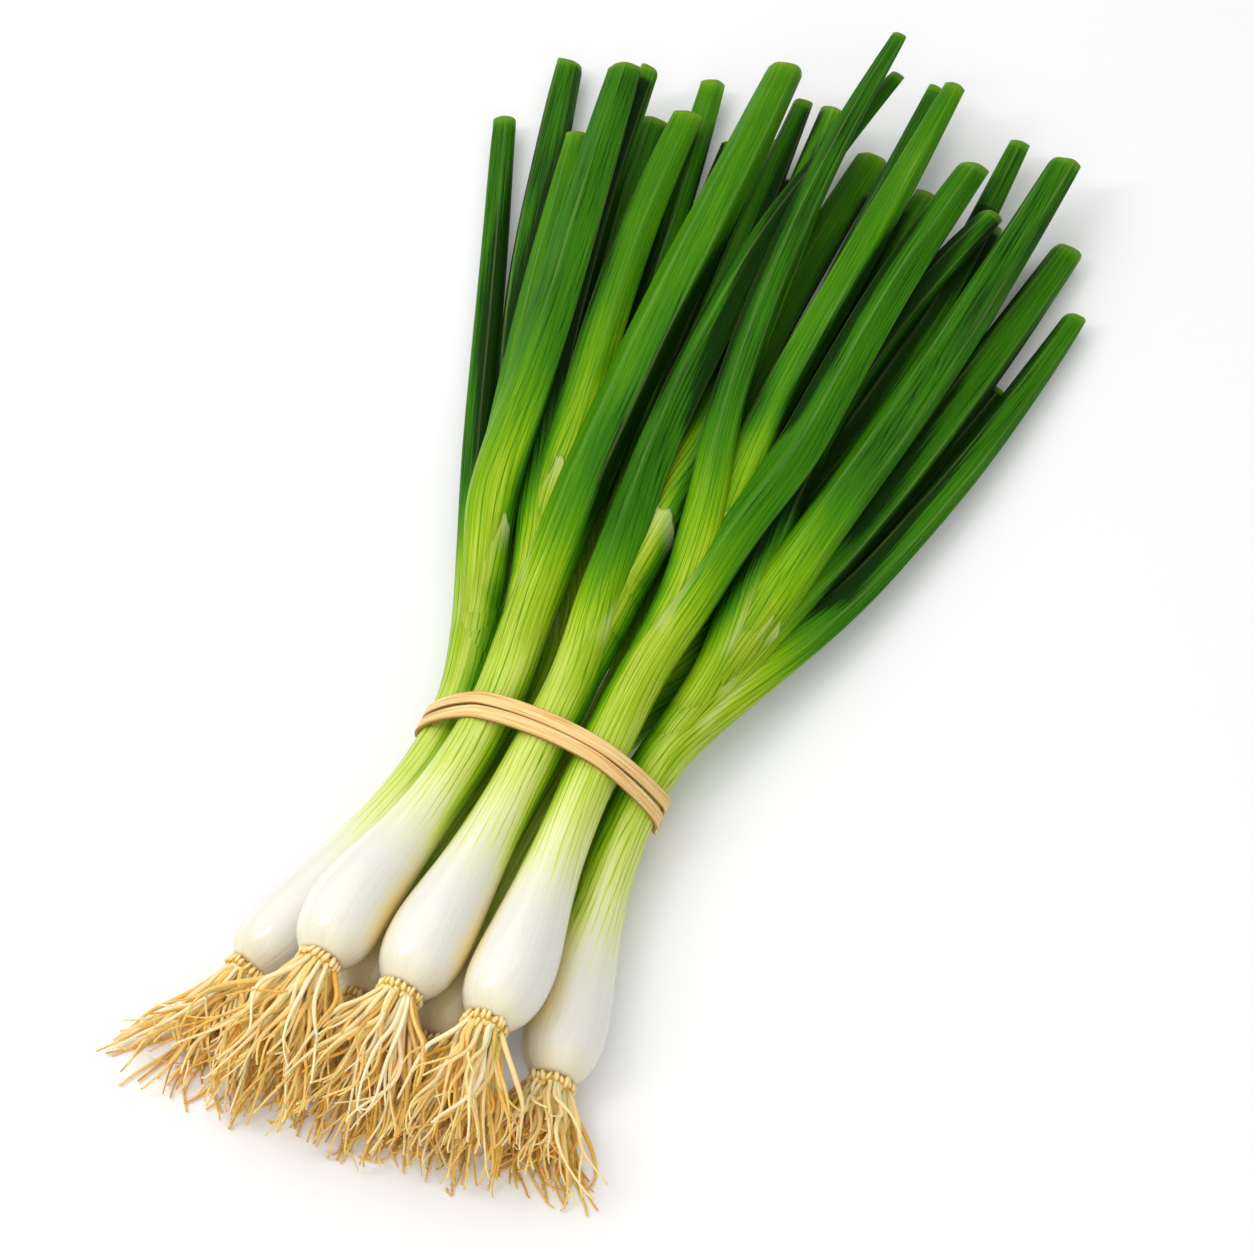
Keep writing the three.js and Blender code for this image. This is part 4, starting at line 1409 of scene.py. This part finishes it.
# ---------------------------------------------------------------- roots
@dataclass
class RootTuft:
    """Root plate, knobs and forked wavy roots of one onion."""

    number: int
    onion: OnionPlan
    onions: tuple[OnionPlan, ...]
    root_count: int = 58
    under_count: int = 30
    knob_count: int = 23
    rings: int = 22
    sides: int = 7
    fork_rings: int = 9
    per_layer: int = 25
    upper_droop: float = 20.0
    lower_droop: float = 6.5
    room_push: float = 0.6
    trimmed_reach: float = 0.93
    root_margin: float = 0.85
    fork_margin: float = 0.5
    under_reach: float = 0.86
    under_sink: float = 5.0
    under_shade: float = 0.45
    tip_curl: float = 9.0
    curl_up_share: float = 0.6
    flat_share: float = 0.85
    ripple: float = 0.07
    plate_sides: int = 24
    plate_tone: float = 0.3

    def _middle(self, onion: OnionPlan, along: np.ndarray | float) -> np.ndarray:
        """Middle of a tuft at a distance from its plate: it droops and spreads away from the rest."""
        x, y, z = onion.plate
        share = np.asarray(along, float) / onion.reach
        droop = self.upper_droop * np.maximum(share, 0) ** 1.5 if z > UPPER_Z else self.lower_droop * share
        return np.stack([x + onion.fan * share, y - along, z - droop], axis=-1)

    def _in_own_room(self, points: np.ndarray, margin: float) -> np.ndarray:
        """Keeps root points in their own tuft's room and off the table.

        Args:
            points: points shaped (count, 3).
            margin: distance to keep from the next room and the table.

        Returns:
            The kept points.
        """
        along = np.maximum(0.0, self.onion.plate[1] - points[:, 1])
        own = self._middle(self.onion, along)
        kept = points.copy()
        for other in self.onions:
            if other is self.onion:
                continue
            toward = self._middle(other, along) - own
            toward[:, 1] = 0
            far = np.linalg.norm(toward, axis=1)
            over = ((kept - own) * toward).sum(axis=1) / far - far / 2 + margin
            kept -= toward / far[:, None] * np.maximum(over, 0)[:, None] * self.room_push
        kept[:, 2] = np.clip(kept[:, 2], margin, ROOT_TOP)
        end = self.onion.plate[1] - self.onion.reach * self.trimmed_reach
        kept[:, 1] = np.maximum(kept[:, 1], end + 0.15 * (kept[:, 1] - end))
        return kept

    def _root(self, skin: Skin, draw: np.random.Generator, index: int) -> None:
        """Rolls one wavy root and its forks.

        Args:
            skin: the mesh being gathered.
            draw: the tuft's own draws.
            index: the root's number.
        """
        angle = index * GOLDEN_ANGLE + draw.uniform(-0.25, 0.25)
        ring = math.sqrt((index % self.per_layer + 0.5) / self.per_layer)
        spread = draw.uniform(4, 25) * (0.45 + 0.55 * ring)
        reach = self.onion.reach * draw.uniform(0.5, 1.0) ** 0.8
        share = np.linspace(0, 1, self.rings)
        under = index >= self.root_count
        reach *= self.under_reach if under else 1.0
        centre = self._middle(self.onion, 1.0 + share * reach)
        if under:
            centre[:, 2] -= self.under_sink * smooth(share / 0.6)
        out = (PLATE_RADIUS - 1.3) * ring + spread * share**1.05
        phase = draw.uniform(0, ANY_PHASE, 5)
        swing = draw.uniform(1.6, 5.2, 2)
        loose = smooth(share / 0.5)
        points = centre.copy()
        wave = np.sin(phase[0] + share * draw.uniform(3, 7)) + self.ripple * np.sin(phase[1] + share * 13)
        bob = np.sin(phase[2] + share * draw.uniform(3, 6)) + self.ripple * np.sin(phase[3] + share * 12)
        curl = draw.uniform(-self.tip_curl, self.tip_curl, 2)[:, None] * share**3.2
        curl[1] *= self.curl_up_share
        across = swing[0] * loose * share * (wave - math.sin(phase[0]))
        rise = swing[1] * loose * share * (bob - math.sin(phase[2]))
        points[:, 0] += math.cos(angle) * out + across + curl[0]
        points[:, 2] += math.sin(angle) * out * self.flat_share + rise + curl[1]
        points[:, 1] += draw.uniform(-1.2, 1.2) * np.sin(phase[4] + share * 7) * share
        points = self._in_own_room(points, self.root_margin)
        start, tip = draw.uniform(0.58, 0.84), draw.uniform(0.22, 0.35)
        radii = start + (tip - start) * smooth((share - 0.35) / 0.65)
        radii *= 1 + 0.04 * np.sin(phase[0] + share * 19)
        # Tone is partly random and partly painted light and shade: upper and outer roots paler, lower and
        # inner ones darker.
        tone = 0.12 + 0.5 * (0.5 + 0.5 * math.sin(angle)) * ring + draw.uniform(-0.12, 0.14)
        # Roots under the tuft are darkened further as painted shade.
        if under:
            tone = self.under_shade * tone - 0.02
        self._fibre(skin, points, radii, tone)
        for _ in range(draw.integers(0, 2)):
            self._fork(skin, draw, points, radii, tone)

    def _fork(
        self, skin: Skin, draw: np.random.Generator, points: np.ndarray, radii: np.ndarray, tone: float
    ) -> None:
        """Rolls a short side root.

        Args:
            skin: the mesh being gathered.
            draw: the tuft's own draws.
            points: the main root's run.
            radii: the main root's radii.
            tone: the main root's tone.
        """
        start = int(draw.integers(self.rings // 3, self.rings - 2))
        length = draw.uniform(5, 15)
        heading = points[start + 1] - points[start]
        heading /= np.linalg.norm(heading) + 1e-9
        turn = draw.normal(0, 0.5, 3)
        share = np.linspace(0, 1, self.fork_rings)[:, None]
        side = heading + turn
        side /= np.linalg.norm(side) + 1e-9
        curl = draw.normal(0, 0.25, 3)
        run = points[start] + (heading * 0.35 + side * 0.65) * share * length + curl * length * share**2
        run = self._in_own_room(run, self.fork_margin)
        self._fibre(skin, run, radii[start] * (0.85 - 0.5 * share[:, 0]), tone)

    def _fibre(self, skin: Skin, points: np.ndarray, radii: np.ndarray, tone: float) -> None:
        """Rolls a round fibre with closed ends.

        Args:
            skin: the mesh being gathered.
            points: its run.
            radii: its radius at each point.
            tone: its tone, from dark to pale.
        """
        rings = tube_rings(points, radii, 1.0, self.sides)
        ends = [np.repeat(p[None], self.sides, axis=0)[None] for p in (points[0], points[-1])]
        rings = np.concatenate([ends[0], rings, ends[1]])
        skin.roll(rings, {Layer.TONE: tone, Layer.KNOB: 0.0})

    def _plate(self, skin: Skin, draw: np.random.Generator, slope: tuple[float, float]) -> None:
        """Adds the root plate and its ring of knobs.

        Args:
            skin: the mesh being gathered.
            draw: the tuft's own draws.
            slope: the bulb's lean across and up for each millimetre along Y.
        """
        x, y, z = self.onion.plate
        lean = Vector((slope[0], 1.0, slope[1])).normalized().to_track_quat("Y", "Z").to_matrix().to_4x4()
        along, share = np.array(PLATE_OUTLINE).T
        level = np.zeros(len(along))
        run = np.stack([level, along, level], axis=1)
        disc = tube_rings(run, PLATE_RADIUS * share, 1.0, self.plate_sides)
        turned = np.array(lean.to_3x3())
        disc = disc @ turned.T + np.array([x, y, z])
        skin.roll(disc, {Layer.TONE: self.plate_tone, Layer.KNOB: self.plate_tone})
        knob_rows = ((6.2, self.knob_count, 1.5), (4.9, self.knob_count - 5, 2.6))
        for row, (radius, count, back) in enumerate(knob_rows):
            for i in range(count):
                turn = 2 * math.pi * (i + draw.uniform(-0.25, 0.25) + row / 2) / count
                size = draw.uniform(0.62, 0.98)
                back_by = -back + draw.uniform(-0.4, 0.3)
                where = Vector((math.cos(turn) * radius, back_by, math.sin(turn) * radius))
                self._knob(skin, lean, Vector((x, y, z)), where, size, draw)

    def _knob(
        self, skin: Skin, lean: Matrix, plate: Vector, where: Vector, size: float, draw: np.random.Generator
    ) -> None:
        """Adds one knob, paler on its crown and darker towards the plate, painted shade for the crevices
        round it.

        Args:
            skin: the mesh being gathered.
            lean: the plate's turn.
            plate: the plate's middle.
            where: the knob's place on the plate.
            size: its radius.
            draw: the tuft's own draws.
        """
        sizes = [draw.uniform(0.7, 1.0), draw.uniform(1.6, 2.6), draw.uniform(0.7, 1.0), 1.0]
        stretch = Matrix.Diagonal(sizes)
        tip, turn = draw.uniform(-0.4, 0.4), draw.uniform(-0.4, 0.4)
        spin = Matrix.Rotation(tip, 4, "X") @ Matrix.Rotation(turn, 4, "Z")
        place = Matrix.Translation(plate * MM) @ lean @ Matrix.Translation(where * MM) @ spin @ stretch
        made = bmesh.ops.create_icosphere(skin.bm, subdivisions=2, radius=size * MM, matrix=place)
        middle = place.translation
        outward = (lean @ Vector((where.x, 0, where.z, 0))).to_3d().normalized()
        for vert in made["verts"]:
            # Painted shade: the knob darkens towards the plate, where the crevices are.
            crown = (vert.co - middle).normalized().dot(outward)
            vert[skin.values[Layer.KNOB]] = 0.2 + 0.75 * max(0.0, 0.5 + 0.5 * crown) ** 1.5
            vert[skin.values[Layer.TONE]] = self.plate_tone

    def build(self, material: bpy.types.Material, shift: Vector) -> bpy.types.Object:
        """Makes and dresses the tuft.

        Args:
            material: the dry root fibre.
            shift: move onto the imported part's frame, in metres.

        Returns:
            The tuft's object.
        """
        draw = np.random.default_rng(700 + self.number)
        skin = Skin(f"roots_{self.number}", (Layer.TONE, Layer.KNOB))
        tied, plate = self.onion.tied, self.onion.plate
        run = TIE_Y - plate[1]
        slope = ((tied[0] - plate[0]) / run, (tied[1] - plate[2]) / run)
        for index in range(self.root_count + self.under_count):
            self._root(skin, draw, index)
        self._plate(skin, draw, slope)
        piece = skin.make(material, shift)
        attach(piece, "root")
        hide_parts(f"onion_{self.number}_roots")
        LOG.info("%s: %d faces", piece.name, len(piece.data.polygons))
        return piece


# ---------------------------------------------------------------- tie
@dataclass
class Tie:
    """One elastic strip wound twice round the stems, crossing over itself low on the right."""

    bundle: Bundle
    width: float = 4.2
    thickness: float = 1.2
    pitch: float = 4.7
    clearance: float = 0.45
    tilt: float = 0.22
    steps: int = 300
    belt_points: int = 720
    belt_from: float = -0.35
    soften_degrees: float = 8.0
    crossing_lift: float = 0.5
    tone: float = 0.4

    def _belt(self) -> tuple[np.ndarray, np.ndarray, np.ndarray]:
        """Softly rounded belt round the tied stems.

        Returns:
            Directions, the belt's point facing each and the outward direction there.
        """
        count = self.belt_points
        angles = 2 * math.pi * np.arange(count) / count + self.belt_from
        out = np.stack([np.cos(angles), np.sin(angles)], axis=1)
        reach = (self.bundle.belt(angles, np.full(count, self.clearance)) * out).sum(axis=1)
        offset = (np.arange(count) + count // 2) % count - count // 2
        weight = np.exp(-0.5 * (offset * 360 / count / self.soften_degrees) ** 2)
        spread = np.fft.fft(weight / weight.sum())
        reach = np.real(np.fft.ifft(np.fft.fft(reach) * spread)) + 0.1
        slope = (np.roll(reach, -1) - np.roll(reach, 1)) / (4 * math.pi / count)
        along = np.stack([-np.sin(angles), np.cos(angles)], axis=1)
        return angles, reach[:, None] * out + slope[:, None] * along, out

    def build(self, material: bpy.types.Material, shift: Vector) -> bpy.types.Object:
        """Makes and dresses the tie.

        Args:
            material: the tan elastic.
            shift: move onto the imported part's frame, in metres.

        Returns:
            The tie's object.
        """
        angles, points, normals = self._belt()
        turn_length = np.linalg.norm(np.diff(points, axis=0, append=points[:1]), axis=1)
        run = np.concatenate([[0.0], np.cumsum(turn_length)])
        steps = np.linspace(0.0, 2 * run[-1], self.steps * 2, endpoint=False)
        index = np.interp(steps % run[-1], run, np.arange(len(run)))
        turns = index / len(angles) + (steps >= run[-1])
        in_turn, first = turns % 1, turns < 1
        crossing = smooth((in_turn - 0.84) / 0.14)
        side = np.where(first, 1 - 2 * crossing, -1 + 2 * crossing)
        over = np.where(first, smooth((in_turn - 0.8) / 0.06) * (1 - smooth((in_turn - 0.94) / 0.06)), 0)
        sway = np.where(first, np.sin(turns * 19 + 0.6), np.sin(turns * 16 + 2.2))
        middle_y = TIE_Y + side * self.pitch / 2 * (1.03 + 0.2 * sway)
        tip = self.tilt * np.where(first, np.sin(turns * 22 + 1.0), np.sin(turns * 25)) * (1 - np.abs(over))
        rows = np.arange(len(points) + 1)
        closed = np.concatenate([points, points[:1]])
        facing = np.concatenate([normals, normals[:1]])
        place = np.stack([np.interp(index, rows, closed[:, k]) for k in (0, 1)], axis=1)
        outward = np.stack([np.interp(index, rows, facing[:, k]) for k in (0, 1)], axis=1)
        rings = []
        for across, depth, _ in TIE_OUTLINE:
            raised = over * (self.thickness + self.crossing_lift) + depth * self.thickness
            raised = raised + tip * (across + 0.5)
            spot = place + outward * raised[:, None]
            rings.append(np.stack([spot[:, 0], middle_y + across * self.width, spot[:, 1]], axis=1))
        rings = np.stack(rings, axis=1)
        edge = np.array([mark[2] for mark in TIE_OUTLINE])
        skin = Skin("tie", (Layer.ALONG, Layer.EDGE, Layer.TONE))
        values = {Layer.ALONG: steps[:, None], Layer.EDGE: edge[None], Layer.TONE: self.tone}
        skin.roll(rings, values, looped=True)
        piece = skin.make(material, shift)
        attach(piece, "root")
        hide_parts("tie_band")
        LOG.info("%s: %d faces", piece.name, len(piece.data.polygons))
        return piece


# ---------------------------------------------------------------- studio
@dataclass(frozen=True)
class Softbox:
    """One soft light: its name, its place and its sides in metres, and its power in watts."""

    name: str
    place: tuple[float, float, float]
    sides: tuple[float, float]
    power: float

    def build(self) -> None:
        """Adds the light, aimed at the bunch."""
        lamp = bpy.data.lights.new(self.name, "AREA")
        lamp.energy = self.power
        lamp.shape = "RECTANGLE"
        lamp.size, lamp.size_y = self.sides
        light = bpy.data.objects.new(self.name, lamp)
        light.location = self.place
        light.rotation_mode = "QUATERNION"
        light.rotation_quaternion = (-Vector(self.place)).to_track_quat("-Z", "Y")
        bpy.context.scene.collection.objects.link(light)


SOFTBOXES = (
    Softbox("key_softbox", (-0.62, 0.22, 1.35), (2.0, 2.0), 16.4),
    Softbox("window_strip", (-0.7, -0.4, 1.1), (0.2, 0.8), 5.0),
    Softbox("fill_softbox", (0.65, -1.1, 1.2), (1.8, 1.8), 12.0),
)


@dataclass(frozen=True)
class Studio:
    """White table, soft lights and the camera above the near side."""

    shift: Vector
    picture_side: float = 1254.0
    sensor_mm: float = 36.0
    camera_elevation: float = 57.0
    camera_azimuth: float = 24.0
    camera_distance: float = 1300.0
    mm_per_pixel: float = 0.2857
    aim_pixel: tuple[float, float] = (545.0, 770.0)
    aim_point: tuple[float, float, float] = (0.0, 0.0, 20.0)
    table_half_side: float = 6.0
    world_strength: float = 0.36

    def build(self) -> None:
        """Sets the table, the lights, the world and the camera."""
        self._table()
        self._lights()
        self._camera()

    def _table(self) -> None:
        """Lays the white table top."""
        bm = bmesh.new()
        bmesh.ops.create_grid(bm, x_segments=1, y_segments=1, size=self.table_half_side)
        mesh = bpy.data.meshes.new("table_top")
        bm.to_mesh(mesh)
        bm.free()
        mesh.materials.append(WhiteTable().build())
        table = bpy.data.objects.new("table_top", mesh)
        bpy.context.scene.collection.objects.link(table)

    def _lights(self) -> None:
        """Sets a soft key from the left, a window strip for the glints, a near fill and a white world."""
        for softbox in SOFTBOXES:
            softbox.build()
        world = bpy.data.worlds.new("white_room")
        world.use_nodes = True
        background = world.node_tree.nodes["Background"]
        background.inputs["Color"].default_value = (1.0, 1.0, 1.0, 1.0)
        background.inputs["Strength"].default_value = self.world_strength
        bpy.context.scene.world = world
        bpy.context.scene.view_settings.view_transform = "Standard"

    def _camera(self) -> None:
        """Places the camera so that the aim point falls on the aim pixel."""
        turn, rise = math.radians(self.camera_azimuth), math.radians(self.camera_elevation)
        ahead = Vector((-math.sin(turn), math.cos(turn), 0.0))
        right = Vector((math.cos(turn), math.sin(turn), 0.0))
        down = ahead * math.cos(rise) - Vector((0, 0, math.sin(rise)))
        up = ahead * math.sin(rise) + Vector((0, 0, math.cos(rise)))
        middle = self.picture_side / 2
        aside = (self.aim_pixel[0] - middle) * self.mm_per_pixel
        below = (self.aim_pixel[1] - middle) * self.mm_per_pixel
        place = Vector(self.aim_point) - down * self.camera_distance - right * aside + up * below
        data = bpy.data.cameras.new("camera")
        data.sensor_width = self.sensor_mm
        data.lens = self.camera_distance / self.mm_per_pixel / self.picture_side * self.sensor_mm
        data.clip_start, data.clip_end = 0.05, 20.0
        camera = bpy.data.objects.new("camera", data)
        camera.location = place * MM + self.shift
        camera.rotation_mode = "QUATERNION"
        camera.rotation_quaternion = down.to_track_quat("-Z", "Y")
        bpy.context.scene.collection.objects.link(camera)
        bpy.context.scene.camera = camera


def frame_shift(bundle: Bundle) -> Vector:
    """Move from the bunch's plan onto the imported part, read from the tie's own box.

    Args:
        bundle: the solved strands.

    Returns:
        The move in metres.
    """
    low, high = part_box("tie_band")
    sides = bundle.belt(np.array([math.pi, 0.0]), np.zeros(2))[:, 0]
    return Vector(((low[0] + high[0]) / 2 - sides.mean() * MM, (low[1] + high[1]) / 2 - TIE_Y * MM, 0.0))


def main() -> None:
    """Builds the bunch piece by piece, then the studio round it."""
    logging.basicConfig(level=logging.INFO, format="%(name)s: %(message)s")
    bundle = Bundle(ONIONS)
    shift = frame_shift(bundle)
    LOG.info("shift to the packed frame: %s", tuple(round(v, 5) for v in shift))
    skin = FreshOnionSkin().build()
    fibre = DryRootFibre().build()
    for number, onion in enumerate(ONIONS, start=1):
        Shoot(number, onion, bundle).build(skin, shift)
        RootTuft(number, onion, ONIONS).build(fibre, shift)
    Tie(bundle).build(TanElastic().build(), shift)
    Studio(shift).build()


if __name__ == "__main__":
    main()
